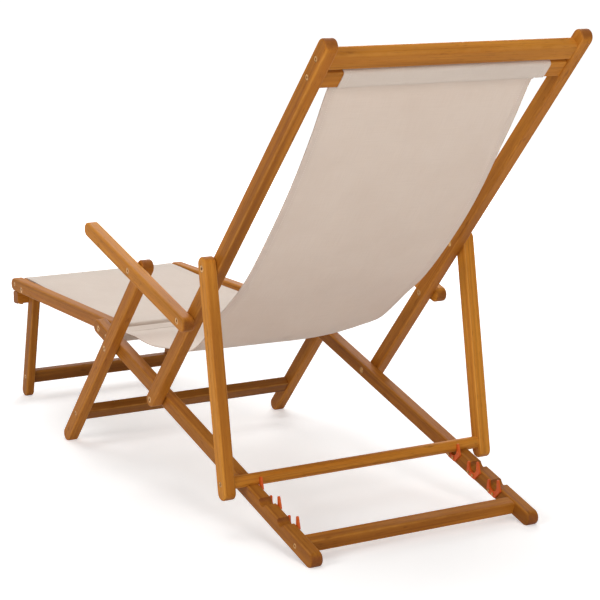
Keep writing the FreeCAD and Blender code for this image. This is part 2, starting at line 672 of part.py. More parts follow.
def make_hook(point, x_face, sign):
    """One plastic hook: a plate with two prongs around the dowel's seat."""
    plan = hook_outline()
    edges = []
    ring = [Vector(x, y, 0.0) for x, y in plan["outer"]]
    for here, there in zip(ring, ring[1:]):
        edges.append(Part.LineSegment(here, there).toShape())
    right, low, left = [Vector(x, y, 0.0) for x, y in plan["seat"]]
    edges.append(Part.LineSegment(ring[-1], right).toShape())
    edges.append(Part.Arc(right, low, left).toShape())
    lips = [left] + [Vector(x, y, 0.0) for x, y in plan["front"]] + [ring[0]]
    for here, there in zip(lips, lips[1:]):
        edges.append(Part.LineSegment(here, there).toShape())
    face = Part.Face(Part.Wire(edges))
    plate = face.extrude(Vector(0.0, 0.0, HOOK_THICKNESS))
    for step in (-0.5, 0.5):
        hole = Part.makeCylinder(
            PIN_SCREW_DIAMETER / 2.0 + SCREW_FIT,
            HOOK_THICKNESS * 3.0,
            Vector(step * HOOK_SCREW_SPREAD, -HOOK_SCREW_DROP, -HOOK_THICKNESS),
        )
        plate = plate.cut(hole)
    x_low = x_face - HOOK_THICKNESS if sign > 0 else -x_face
    plate.Placement = side_placement(BASE_ANGLE, point, x_low)
    return plate


def make_pin_screw(point, x_face, sign):
    """A small round-head screw that holds a hook to the rail."""
    seat = sign * (x_face - HOOK_THICKNESS)
    top = sign * (x_face - HOOK_THICKNESS - PIN_SCREW_HEAD_HEIGHT)
    tip = sign * (x_face - HOOK_THICKNESS + PIN_SCREW_LENGTH)
    shape = cylinder(PIN_SCREW_DIAMETER / 2.0, seat, tip)
    shape = shape.fuse(cylinder(PIN_SCREW_HEAD / 2.0, seat, top))
    shape.translate(Vector(0.0, point[0], point[1]))
    return shape


def make_hooks():
    """Three hooks on each base rail, with two small screws in each."""
    pins = []
    holes = []
    for side, sign in (("left", 1.0), ("right", -1.0)):
        plates = []
        for step in range(NOTCH_COUNT):
            reach = BACK_TO_NOTCH + step * NOTCH_PITCH
            centre = along(POINTS["back"], BASE_ANGLE, reach, NOTCH_RISE)
            plates.append(make_hook(centre, BASE_IN, sign))
            for half in (-0.5, 0.5):
                shift = reach + half * HOOK_SCREW_SPREAD
                spot = along(POINTS["back"], BASE_ANGLE, shift, NOTCH_RISE - HOOK_SCREW_DROP)
                pins.append(make_pin_screw(spot, BASE_IN, sign))
                holes.append((side, spot, sign))
        add_coded("dowel_hooks_" + side, Part.makeCompound(plates))
    add_coded("hook_screws", Part.makeCompound(pins))
    return holes


def pilot_rails(holes):
    """Pilot holes for the hook screws in the inner faces of the base rails."""
    depth = PIN_SCREW_LENGTH - HOOK_THICKNESS + 1.0
    for side in ("left", "right"):
        rail = [item for name, item in EXPORTS if name == "base_rail_" + side][0]
        turn = rail.Placement.inverse()
        face = 0.0 if side == "left" else RAIL_THICKNESS
        sketch = new_sketch(rail, rail.Name + "_pin_sketch", face)
        spots = [spot for name, spot, sign in holes if name == side]
        for number, spot in enumerate(spots):
            local = turn.multVec(Vector(0.0, spot[0], spot[1]))
            ring = Part.Circle(Vector(local.x, local.y, 0.0), Vector(0.0, 0.0, 1.0), 1.0)
            ring.Radius = PIN_SCREW_DIAMETER / 2.0 + SCREW_FIT
            sketch.addGeometry(ring, False)
        pocket = rail.newObject("PartDesign::Pocket", rail.Name + "_pins")
        pocket.Profile = sketch
        pocket.Length = depth
        pocket.Reversed = side == "left"
        doc.recompute()
        rail.Tip = pocket


def make_back():
    """The back rails, the top crossbar and the upper sling bar."""
    holes = [
        (0.0, 0.0, "bolt_head"),
        (BACK_TO_ARM, 0.0, "bolt_nut"),
        (BACK_TO_PROP, 0.0, "bolt_nut"),
        (BACK_TO_SLING_BAR, 0.0, "screw_head"),
        (BACK_TO_TOP_BAR, 0.0, "screw_head"),
    ]
    make_rail_pair("back_rail", BACK_RAIL_SPAN, "back_span", BACK_ANGLE, POINTS["back"], BACK_IN, holes)
    top = along(POINTS["back"], BACK_ANGLE, BACK_TO_TOP_BAR)
    size = (TOP_BAR_HEIGHT, TOP_BAR_DEPTH)
    cells = ("top_bar_height", "top_bar_depth")
    width = 2.0 * BACK_IN
    make_bar("top_crossbar", size, cells, width, "back_width", TOP_BAR_EDGE, "top_bar_edge", BACK_ANGLE, top)
    hang = along(POINTS["back"], BACK_ANGLE, BACK_TO_SLING_BAR)
    size = (SLING_BAR_HEIGHT, SLING_BAR_DEPTH)
    cells = ("sling_bar_height", "sling_bar_depth")
    make_bar("upper_sling_bar", size, cells, width, "back_width", BAR_EDGE, "bar_edge", BACK_ANGLE, hang)
    screw_group("back_screws", [(top, BACK_OUT), (hang, BACK_OUT)])
    spots = [(POINTS["arm_back"], OUTER_X, BACK_IN), (POINTS["prop"], OUTER_X, BACK_IN)]
    bolt_group("back_pivot_bolts", spots)


def make_legs():
    """The front legs and the crossbar between them."""
    foot = along(POINTS["leg"], BACK_ANGLE, -LEG_FOOT)
    holes = [
        (LEG_FOOT - LEG_BAR_BELOW_PIVOT, 0.0, "screw_head"),
        (LEG_FOOT, 0.0, "bolt_head"),
        (LEG_FOOT + BACK_TO_ARM, 0.0, "bolt_nut"),
    ]
    span = LEG_FOOT + BACK_TO_ARM + LEG_TOP_OVERHANG
    pair = make_rail_pair("front_leg", span, "leg_span", BACK_ANGLE, foot, BACK_IN, holes)
    for rail in pair:
        trim_foot(rail, 0.0, BACK_ANGLE)
    centre = along(POINTS["leg"], BACK_ANGLE, -LEG_BAR_BELOW_PIVOT)
    size = (LEG_BAR_HEIGHT, LEG_BAR_DEPTH)
    cells = ("leg_bar_height", "leg_bar_depth")
    width = 2.0 * BACK_IN
    make_bar("leg_crossbar", size, cells, width, "back_width", BAR_EDGE, "bar_edge", BACK_ANGLE, centre)
    screw_group("leg_screws", [(centre, BACK_OUT)])
    bolt_group("arm_pivot_bolts", [(POINTS["arm_leg"], OUTER_X, BACK_IN)])


def make_arms():
    """The armrests, which stay parallel to the base rails."""
    start = along(POINTS["arm_leg"], BASE_ANGLE, -ARM_FRONT_OVERHANG)
    holes = [
        (ARM_FRONT_OVERHANG, 0.0, "bolt_head"),
        (ARM_FRONT_OVERHANG + LEG_TO_BACK, 0.0, "bolt_head"),
    ]
    span = ARM_FRONT_OVERHANG + LEG_TO_BACK + ARM_REAR_OVERHANG
    make_rail_pair("armrest", span, "arm_span", BASE_ANGLE, start, ARM_IN, holes)


def make_prop():
    """The prop legs and the dowel that lies in the front notch."""
    start = along(POINTS["prop"], PROP_ANGLE, -PROP_TOP_OVERHANG)
    holes = [
        (PROP_TOP_OVERHANG, 0.0, "bolt_head"),
        (PROP_TOP_OVERHANG + PROP_LENGTH, 0.0, "screw_head"),
    ]
    span = PROP_TOP_OVERHANG + PROP_LENGTH + PROP_FOOT_OVERHANG
    make_rail_pair("prop_leg", span, "prop_span", PROP_ANGLE, start, ARM_IN, holes)
    make_dowel()
    screw_group("prop_screws", [(POINTS["dowel"], OUTER_X)])


def make_footrest():
    """The footrest rails, the two cloth bars and the stop bar below the front end."""
    holes = [
        (0.0, 0.0, "bolt_nut"),
        (HEEL_BAR_POSITION, -HEEL_BAR_RAISE, "screw_head"),
        (FRONT_BAR_POSITION, -FOOT_BAR_RAISE, "screw_head"),
        (FOOTREST_TO_FOOT_LEG, FOOT_LEG_PIVOT_DROP, "bolt_head"),
    ]
    front = POINTS["front"]
    pair = make_rail_pair("footrest_rail", FOOTREST_SPAN, "footrest_span", FOOT_ANGLE, front, FOOT_IN, holes)
    toe = along(front, FOOT_ANGLE, FRONT_BAR_POSITION, -FOOT_BAR_RAISE)
    size = (FOOT_BAR_LENGTHWISE, FOOT_BAR_HEIGHT)
    cells = ("foot_bar_lengthwise", "foot_bar_height")
    width = 2.0 * FOOT_IN
    make_bar("footrest_front_bar", size, cells, width, "foot_width", BAR_EDGE, "bar_edge", FOOT_ANGLE, toe)
    heel = along(front, FOOT_ANGLE, HEEL_BAR_POSITION, -HEEL_BAR_RAISE)
    size = (HEEL_BAR_LENGTHWISE, HEEL_BAR_HEIGHT)
    cells = ("heel_bar_lengthwise", "heel_bar_height")
    make_bar("footrest_heel_bar", size, cells, width, "foot_width", BAR_EDGE, "bar_edge", FOOT_ANGLE, heel)
    tilt = math.radians(FOOT_LEG_LEAN - FOOTREST_ANGLE)
    drop = HALF_DEPTH + STOP_BAR_HEIGHT - BAR_EDGE - FOOT_LEG_PIVOT_DROP
    ahead = (HALF_DEPTH + STOP_GAP + BAR_EDGE + drop * math.sin(tilt)) / math.cos(tilt) - BAR_EDGE
    centre_run = FOOTREST_TO_FOOT_LEG + ahead + STOP_BAR_LENGTHWISE / 2.0
    stop = along(front, FOOT_ANGLE, centre_run, HALF_DEPTH + STOP_BAR_HEIGHT / 2.0)
    size = (STOP_BAR_LENGTHWISE, STOP_BAR_HEIGHT)
    cells = ("stop_bar_lengthwise", "stop_bar_height")
    width = 2.0 * FOOT_OUT
    place = (FOOT_ANGLE, stop)
    bar = make_bar("footrest_stop_bar", size, cells, width, "stop_width", BAR_EDGE, "bar_edge", *place, False)
    screw_group("footrest_screws", [(toe, FOOT_OUT), (heel, FOOT_OUT)])
    middle = FOOT_IN + RAIL_THICKNESS / 2.0
    run = centre_run - STOP_SCREW_SETBACK
    drill_upward(bar, "stop_bar_holes", [(-STOP_SCREW_SETBACK, middle), (-STOP_SCREW_SETBACK, -middle)], 0.0)
    for rail in pair:
        drill_upward(rail, rail.Name + "_stop_hole", [(run, RAIL_THICKNESS / 2.0)], HALF_DEPTH, STOP_SCREW_BITE + 1.0)
    solids = []
    length = STOP_BAR_HEIGHT + STOP_SCREW_BITE
    for sign in (1.0, -1.0):
        screw = Part.makeCylinder(SCREW_DIAMETER / 2.0, length)
        screw = screw.fuse(Part.makeCylinder(SCREW_HEAD_DIAMETER / 2.0, SCREW_HEAD_HEIGHT, Vector(0.0, 0.0, -SCREW_HEAD_HEIGHT)))
        low = along(front, FOOT_ANGLE, run, HALF_DEPTH + STOP_BAR_HEIGHT)
        screw.Placement = Placement(Vector(sign * middle, low[0], low[1]), Rotation(Vector(1.0, 0.0, 0.0), -FOOTREST_ANGLE))
        solids.append(screw)
    add_coded("stop_bar_screws", Part.makeCompound(solids))


def make_foot_legs():
    """The legs that hold up the footrest, and their crossbar."""
    holes = [
        (0.0, 0.0, "bolt_nut"),
        (FOOT_LEG_BAR_POSITION, 0.0, "screw_head"),
    ]
    start = POINTS["shin"]
    pair = make_rail_pair("foot_leg", SHIN_SPAN, "foot_leg_span", SHIN_ANGLE, start, SHIN_IN, holes, "thin")
    for rail in pair:
        trim_foot(rail, SHIN_SPAN, SHIN_ANGLE)
    centre = along(start, SHIN_ANGLE, FOOT_LEG_BAR_POSITION)
    size = (FOOT_LEG_BAR_HEIGHT, FOOT_LEG_BAR_DEPTH)
    cells = ("foot_leg_bar_height", "foot_leg_bar_depth")
    width = 2.0 * SHIN_IN
    thick = FOOT_LEG_THICKNESS
    place = (SHIN_ANGLE, centre)
    make_bar("foot_leg_crossbar", size, cells, width, "shin_width", BAR_EDGE, "bar_edge", *place, True, thick)
    screw_group("foot_leg_screws", [(centre, SHIN_OUT)])
    bolt_group("foot_leg_bolts", [(POINTS["shin"], FOOT_OUT, SHIN_IN)])


def make_base_bolts():
    """The six pivot bolts that pass through the base rails."""
    spots = [
        (POINTS["back"], BACK_OUT, BASE_IN),
        (POINTS["leg"], BACK_OUT, BASE_IN),
        (POINTS["front"], BASE_OUT, FOOT_IN),
    ]
    bolt_group("base_pivot_bolts", spots)


def hem_edges(spot, half_long, half_tall, grow):
    """Edges of one face of the cloth, from a bar's hanging side around the bar to the hem.

    The bar's own directions are used: the cloth hangs away at -long, along the +tall face.
    """
    far = half_long + grow
    tall = half_tall + grow
    turn = BAR_EDGE + grow
    stop = half_tall + CLOTH_GAP - HEM_STOP
    corners = [(0.0, tall), (far, tall), (far, -tall), (-far, -tall), (-far, stop)]
    corners = [Vector(0.0, *corner) for corner in corners]

    def place(local):
        return Vector(0.0, *spot(local.y, local.z))

    edges = []
    reached = corners[0]
    for before, corner, after in zip(corners, corners[1:], corners[2:]):
        back = (before - corner).normalize()
        ahead = (after - corner).normalize()
        inward = (back + ahead).normalize()
        entry = corner + back * turn
        leave = corner + ahead * turn
        middle = corner + inward * (turn * (math.sqrt(2.0) - 1.0))
        edges.append(Part.LineSegment(place(reached), place(entry)).toShape())
        edges.append(Part.Arc(place(entry), place(middle), place(leave)).toShape())
        reached = leave
    edges.append(Part.LineSegment(place(reached), place(corners[-1])).toShape())
    return edges, place(corners[-1])


def cloth_strip(first, middle, last, width):
    """One strip of cloth: a hem around a bar, the hanging part and a hem around the other bar.

    Each bar is given as its placing function and its half sizes; the outer face is to the
    right of the way from the first bar to the last.
    """
    curve = Part.BSplineCurve()
    curve.interpolate([Vector(0.0, y, z) for y, z in middle])
    steps = [curve.FirstParameter + (curve.LastParameter - curve.FirstParameter) * index / 44.0 for index in range(45)]
    edges = []
    ends = []
    for grow, side in ((CLOTH_GAP, -1.0), (CLOTH_GAP + CLOTH_THICKNESS, 1.0)):
        points = []
        for step in steps:
            run = Vector(*curve.tangent(step)[0]).normalize()
            points.append(curve.value(step) + Vector(0.0, run.z, -run.y) * (side * CLOTH_THICKNESS / 2.0))
        points[0] = Vector(0.0, *first[0](0.0, first[2] + grow))
        points[-1] = Vector(0.0, *last[0](0.0, last[2] + grow))
        hang = Part.BSplineCurve()
        hang.interpolate(points)
        edges.append(hang.toShape())
        for bar in (first, last):
            hem, tip = hem_edges(*bar, grow)
            edges += hem
            ends.append(tip)
    edges.append(Part.LineSegment(ends[0], ends[2]).toShape())
    edges.append(Part.LineSegment(ends[1], ends[3]).toShape())
    face = Part.Face(Part.Wire(Part.__sortEdges__(edges)))
    face.translate(Vector(-width / 2.0, 0.0, 0.0))
    return face.extrude(Vector(width, 0.0, 0.0))


def make_sling():
    """The seat and back sling, one strip with a hem around each bar."""
    back = POINTS["back"]
    lay = CLOTH_GAP + CLOTH_THICKNESS / 2.0
    front_face = SLING_BAR_DEPTH / 2.0 + lay
    seat_top = SEAT_BAR_HEIGHT / 2.0 + lay
    seat_bar = FRONT_TO_LEG + LEG_TO_BACK - SEAT_BAR_TO_FRONT

    def upper_spot(run, rise):
        return along(back, BACK_ANGLE, BACK_TO_SLING_BAR + run, rise)

    def seat_spot(run, rise):
        return along(back, BASE_ANGLE, -seat_bar - run, rise)

    points = [upper_spot(0.0, front_face), upper_spot(-SLING_BAR_HEIGHT / 4.0, front_face)]
    for share, sag in BACK_DRAPE:
        points.append(along(back, BACK_ANGLE, share * BACK_TO_SLING_BAR, front_face - sag * BACK_SAG))
    for share, rise in SEAT_DRAPE:
        points.append(along(back, BASE_ANGLE, share * seat_bar, seat_top + rise * SEAT_RISE))
    points += [seat_spot(-SEAT_BAR_LENGTHWISE / 4.0, seat_top), seat_spot(0.0, seat_top)]
    upper_bar = (upper_spot, SLING_BAR_HEIGHT / 2.0, SLING_BAR_DEPTH / 2.0)
    front_bar = (seat_spot, SEAT_BAR_LENGTHWISE / 2.0, SEAT_BAR_HEIGHT / 2.0)
    add_coded("seat_sling", cloth_strip(upper_bar, points, front_bar, SLING_WIDTH))


def make_foot_cloth():
    """The footrest cloth, one strip with a hem around each of its bars."""
    front = POINTS["front"]
    lay = CLOTH_GAP + CLOTH_THICKNESS / 2.0
    low = HEEL_BAR_HEIGHT / 2.0 + lay
    high = FOOT_BAR_HEIGHT / 2.0 + lay
    reach = FRONT_BAR_POSITION - HEEL_BAR_POSITION

    def heel_spot(run, rise):
        return along(front, FOOT_ANGLE, HEEL_BAR_POSITION - run, -HEEL_BAR_RAISE - rise)

    def toe_spot(run, rise):
        return along(front, FOOT_ANGLE, FRONT_BAR_POSITION + run, -FOOT_BAR_RAISE - rise)

    points = [heel_spot(0.0, low), heel_spot(-HEEL_BAR_LENGTHWISE / 4.0, low)]
    for share, sag in FOOT_DRAPE:
        level = HEEL_BAR_RAISE + low + share * (FOOT_BAR_RAISE + high - HEEL_BAR_RAISE - low) - sag * FOOT_CLOTH_SAG
        points.append(along(front, FOOT_ANGLE, HEEL_BAR_POSITION + share * reach, -level))
    points += [toe_spot(-FOOT_BAR_LENGTHWISE / 4.0, high), toe_spot(0.0, high)]
    heel_bar = (heel_spot, HEEL_BAR_LENGTHWISE / 2.0, HEEL_BAR_HEIGHT / 2.0)
    toe_bar = (toe_spot, FOOT_BAR_LENGTHWISE / 2.0, FOOT_BAR_HEIGHT / 2.0)
    add_coded("footrest_cloth", cloth_strip(heel_bar, points, toe_bar, FOOT_CLOTH_WIDTH))


def check_and_write():
    """Stop on any bad object, then write one file for each node."""
    doc.recompute()
    for item in doc.Objects:
        if "Invalid" in item.State or "Error" in item.State:
            raise RuntimeError("bad state: " + item.Name)
    os.makedirs("parts", exist_ok=True)
    for name, item in EXPORTS:
        shape = item.Shape
        if shape.isNull() or not shape.isValid():
            raise RuntimeError("bad shape: " + name)
        shape.exportStep("parts/" + name + ".step")
        print(name, round(shape.Volume / 1000.0, 1), "cm3", len(shape.Solids))


fill_sheet()
make_base()
pilot_rails(make_hooks())
make_back()
make_legs()
make_arms()
make_prop()
make_footrest()
make_foot_legs()
make_base_bolts()
make_sling()
make_foot_cloth()
check_and_write()
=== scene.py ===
import logging
import math
from dataclasses import dataclass, field
from enum import Enum
from typing import Dict, List, Sequence, Tuple

import bpy
import numpy as np
from mathutils import Euler, Matrix, Vector


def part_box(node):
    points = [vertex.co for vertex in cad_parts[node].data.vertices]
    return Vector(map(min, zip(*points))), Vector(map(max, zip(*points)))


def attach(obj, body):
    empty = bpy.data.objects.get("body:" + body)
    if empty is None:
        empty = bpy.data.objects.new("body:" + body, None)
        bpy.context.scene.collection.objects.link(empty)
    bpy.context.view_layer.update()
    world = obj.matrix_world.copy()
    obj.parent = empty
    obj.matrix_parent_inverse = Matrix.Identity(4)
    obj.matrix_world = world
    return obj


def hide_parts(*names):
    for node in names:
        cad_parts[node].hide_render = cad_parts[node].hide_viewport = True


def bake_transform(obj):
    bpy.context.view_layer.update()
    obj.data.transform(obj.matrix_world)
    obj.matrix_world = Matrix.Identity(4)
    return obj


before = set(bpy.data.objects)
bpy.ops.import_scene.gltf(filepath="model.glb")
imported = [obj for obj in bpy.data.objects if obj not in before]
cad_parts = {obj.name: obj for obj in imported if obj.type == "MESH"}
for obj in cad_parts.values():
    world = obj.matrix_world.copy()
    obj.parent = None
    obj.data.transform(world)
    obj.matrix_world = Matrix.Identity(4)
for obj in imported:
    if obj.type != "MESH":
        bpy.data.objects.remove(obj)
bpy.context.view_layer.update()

LOG = logging.getLogger("lounger")

Point2 = Tuple[float, float]
Point3 = Tuple[float, float, float]
Colour = Tuple[float, float, float]
Socket = bpy.types.NodeSocket
Node = bpy.types.Node
Material = bpy.types.Material


def srgb(red: int, green: int, blue: int) -> Colour:
    """Turn a display colour into the linear values that shaders use.

    Args:
        red: display value from 0 to 255.
        green: display value from 0 to 255.
        blue: display value from 0 to 255.

    Returns:
        The linear colour.
    """
    values = []
    for part in (red, green, blue):
        level = part / 255.0
        values.append(level / 12.92 if level <= 0.04045 else ((level + 0.055) / 1.055) ** 2.4)
    return (values[0], values[1], values[2])


# Sizes of the lounger, in metres and degrees

@dataclass(frozen=True)
class Layout:
    """Side-view layout of the lounger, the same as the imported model's."""

    base_angle: float = -16.4
    back_angle: float = 47.6
    footrest_angle: float = 179.4
    foot_leg_angle: float = -103.6
    back_pivot: Point2 = (0.093237, 0.183687)
    leg_to_back: float = 0.223
    front_to_leg: float = 0.088
    back_to_prop: float = 0.4205
    back_to_dowel: float = 0.357
    dowel_rise: float = 0.0183
    back_to_sling_bar: float = 0.9215
    seat_bar_to_front: float = 0.038
    sling_half_width: float = 0.214
    foot_cloth_half_width: float = 0.192

    def along(self, start: Point2, angle: float, run: float, rise: float = 0.0) -> Point2:
        """Step along a direction in the side view.

        Args:
            start: point as (y, z).
            angle: direction above the floor, in degrees.
            run: distance along it.
            rise: distance square to it.

        Returns:
            The new point as (y, z).
        """
        turn = math.radians(angle)
        cosine, sine = math.cos(turn), math.sin(turn)
        return (start[0] + cosine * run - sine * rise, start[1] + sine * run + cosine * rise)

    @property
    def front_pivot(self) -> Point2:
        """The pivot between base and footrest."""
        return self.along(self.back_pivot, self.base_angle, -(self.front_to_leg + self.leg_to_back))

    @property
    def prop_angle(self) -> float:
        """Direction of the prop legs, from the back rail down to the dowel.

        Returns:
            The angle above the floor, in degrees.
        """
        top = self.along(self.back_pivot, self.back_angle, self.back_to_prop)
        low = self.along(self.back_pivot, self.base_angle, self.back_to_dowel, self.dowel_rise)
        return math.degrees(math.atan2(low[1] - top[1], low[0] - top[0]))


LAYOUT = Layout()


class Grain(Enum):
    """Which way grain runs: the layout's angle, and whether it goes across the lounger."""

    BASE = ("base_angle", False)
    BACK = ("back_angle", False)
    PROP = ("prop_angle", False)
    FOOTREST = ("footrest_angle", False)
    FOOT_LEG = ("foot_leg_angle", False)
    ACROSS_BASE = ("base_angle", True)
    ACROSS_BACK = ("back_angle", True)
    ACROSS_PROP = ("prop_angle", True)
    ACROSS_FOOTREST = ("footrest_angle", True)
    ACROSS_FOOT_LEG = ("foot_leg_angle", True)

    def turn(self) -> Matrix:
        """Rotation from the piece's own axes, X along the grain, to the lounger's.

        Returns:
            The rotation.
        """
        name, across = self.value
        angle = math.radians(getattr(LAYOUT, name))
        cosine, sine = math.cos(angle), math.sin(angle)
        run = Vector((0.0, cosine, sine))
        rise = Vector((0.0, -sine, cosine))
        side = Vector((1.0, 0.0, 0.0))
        columns = (side, run, rise) if across else (run, rise, side)
        return Matrix(columns).transposed()


# Shader building

class Wiring:
    """Adds and links nodes in one node tree."""

    def __init__(self, tree: bpy.types.NodeTree) -> None:
        """Keep the tree to build in."""
        self.tree = tree

    def node(self, kind: str, **settings: object) -> Node:
        """Add a node and set its properties.

        Args:
            kind: Blender's name of the node type.
            settings: properties of the node.

        Returns:
            The new node.
        """
        item = self.tree.nodes.new(kind)
        for name, value in settings.items():
            setattr(item, name, value)
        return item

    def feed(self, socket: Socket, value: object) -> None:
        """Link an input to an output socket, or give it a plain value.

        Args:
            socket: input socket.
            value: an output socket or a plain value.
        """
        if isinstance(value, Socket):
            self.tree.links.new(value, socket)
        elif value is not None:
            held = socket.default_value
            if hasattr(held, "__len__") and len(held) == 4 and len(value) == 3:
                value = (*value, 1.0)
            socket.default_value = value

    def fill(self, item: Node, **values: object) -> Node:
        """Feed a node's inputs.

        Args:
            item: the node.
            values: its inputs, by name with underscores for spaces.

        Returns:
            The same node.
        """
        for name, value in values.items():
            self.feed(item.inputs[name.replace("_", " ")], value)
        return item

    def math(self, operation: str, one: object, two: object = None, clamp: bool = False) -> Socket:
        """Add a math node.

        Args:
            operation: its operation.
            one: first value or socket.
            two: second value or socket.
            clamp: whether to keep the result from 0 to 1.

        Returns:
            The result.
        """
        item = self.node("ShaderNodeMath", operation=operation, use_clamp=clamp)
        self.feed(item.inputs[0], one)
        self.feed(item.inputs[1], two)
        return item.outputs[0]

    def scaled(self, value: Socket, factor: object) -> Socket:
        """A value times a factor."""
        return self.math("MULTIPLY", value, factor)

    def vector(self, operation: str, one: object, two: object = None) -> Node:
        """Add a vector math node.

        Args:
            operation: its operation.
            one: first vector or socket.
            two: second vector or socket.

        Returns:
            The node.
        """
        item = self.node("ShaderNodeVectorMath", operation=operation)
        self.feed(item.inputs[0], one)
        self.feed(item.inputs[1], two)
        return item

    def even(self, value: Socket) -> Socket:
        """Put one value on all axes of a vector.

        Args:
            value: the value.

        Returns:
            The vector.
        """
        item = self.node("ShaderNodeCombineXYZ")
        for socket in item.inputs:
            self.feed(socket, value)
        return item.outputs[0]

    def parts(self, vector: Socket) -> List[Socket]:
        """Split a vector.

        Args:
            vector: the vector.

        Returns:
            Its parts along X, Y and Z.
        """
        item = self.node("ShaderNodeSeparateXYZ")
        self.feed(item.inputs[0], vector)
        return list(item.outputs)

    def noise(
        self, place: Socket, scale: float, detail: float, rough: float, warp: float = 0.0
    ) -> Socket:
        """Add a noise texture.

        Args:
            place: coordinates.
            scale: scale of the noise.
            detail: octaves.
            rough: weight of the finer octaves.
            warp: distortion.

        Returns:
            The noise value.
        """
        item = self.node("ShaderNodeTexNoise")
        self.fill(item, Vector=place, Scale=scale, Detail=detail, Roughness=rough, Distortion=warp)
        return item.outputs[0]

    def drawn_noise(
        self, place: Socket, stretch: Point3, detail: float, rough: float = 0.5, warp: float = 0.0
    ) -> Socket:
        """Noise over coordinates that are scaled axis by axis."""
        spot = self.vector("MULTIPLY", place, stretch).outputs[0]
        return self.noise(spot, 1.0, detail, rough, warp)

    def ramp(
        self, value: Socket, low: float, high: float, to_low: float = 0.0, to_high: float = 1.0
    ) -> Socket:
        """Step smoothly from one result to another.

        Args:
            value: value to step over.
            low: start of the step.
            high: end of the step.
            to_low: result at the start.
            to_high: result at the end.

        Returns:
            The result.
        """
        item = self.node("ShaderNodeMapRange", interpolation_type="SMOOTHSTEP")
        for socket, given in zip(item.inputs, (value, low, high, to_low, to_high)):
            self.feed(socket, given)
        return item.outputs[0]

    def mix(self, share: object, one: object, two: object) -> Socket:
        """Mix two colours.

        Args:
            share: how much of the second one.
            one: first colour.
            two: second colour.

        Returns:
            The mixed colour.
        """
        item = self.node("ShaderNodeMix", data_type="RGBA")
        for index, given in ((0, share), (6, one), (7, two)):
            self.feed(item.inputs[index], given)
        return item.outputs[2]

    def group(self, shared: bpy.types.NodeTree, **values: object) -> Node:
        """Place a shared group and feed its inputs.

        Args:
            shared: the group's tree.
            values: its inputs, by name with underscores for spaces.

        Returns:
            The group node.
        """
        item = self.node("ShaderNodeGroup")
        item.node_tree = shared
        return self.fill(item, **values)

    def bump(self, shader: Node, height: Socket, strength: float, distance: float) -> None:
        """Feed a height into a shader's normal.

        Args:
            shader: the surface shader.
            height: height value.
            strength: strength of the bump.
            distance: height of the relief, in metres.
        """
        item = self.node("ShaderNodeBump")
        self.fill(item, Strength=strength, Distance=distance, Height=height)
        self.feed(shader.inputs["Normal"], item.outputs[0])


def shared_group(
    name: str, inputs: Sequence[Tuple[str, str]], outputs: Sequence[Tuple[str, str]]
) -> Tuple[Wiring, Dict[str, Socket], Node]:
    """Start a shader node group.

    Args:
        name: name of the group.
        inputs: names and kinds of its inputs.
        outputs: names and kinds of its outputs.

    Returns:
        Its wiring, its input sockets by name and its output node.
    """
    kinds = {"value": "NodeSocketFloat", "colour": "NodeSocketColor", "vector": "NodeSocketVector"}
    tree = bpy.data.node_groups.new(name, "ShaderNodeTree")
    for side, sockets in (("INPUT", inputs), ("OUTPUT", outputs)):
        for label, kind in sockets:
            tree.interface.new_socket(name=label, in_out=side, socket_type=kinds[kind])
    wiring = Wiring(tree)
    entry = wiring.node("NodeGroupInput")
    leave = wiring.node("NodeGroupOutput")
    return wiring, {label: entry.outputs[label] for label, _ in inputs}, leave


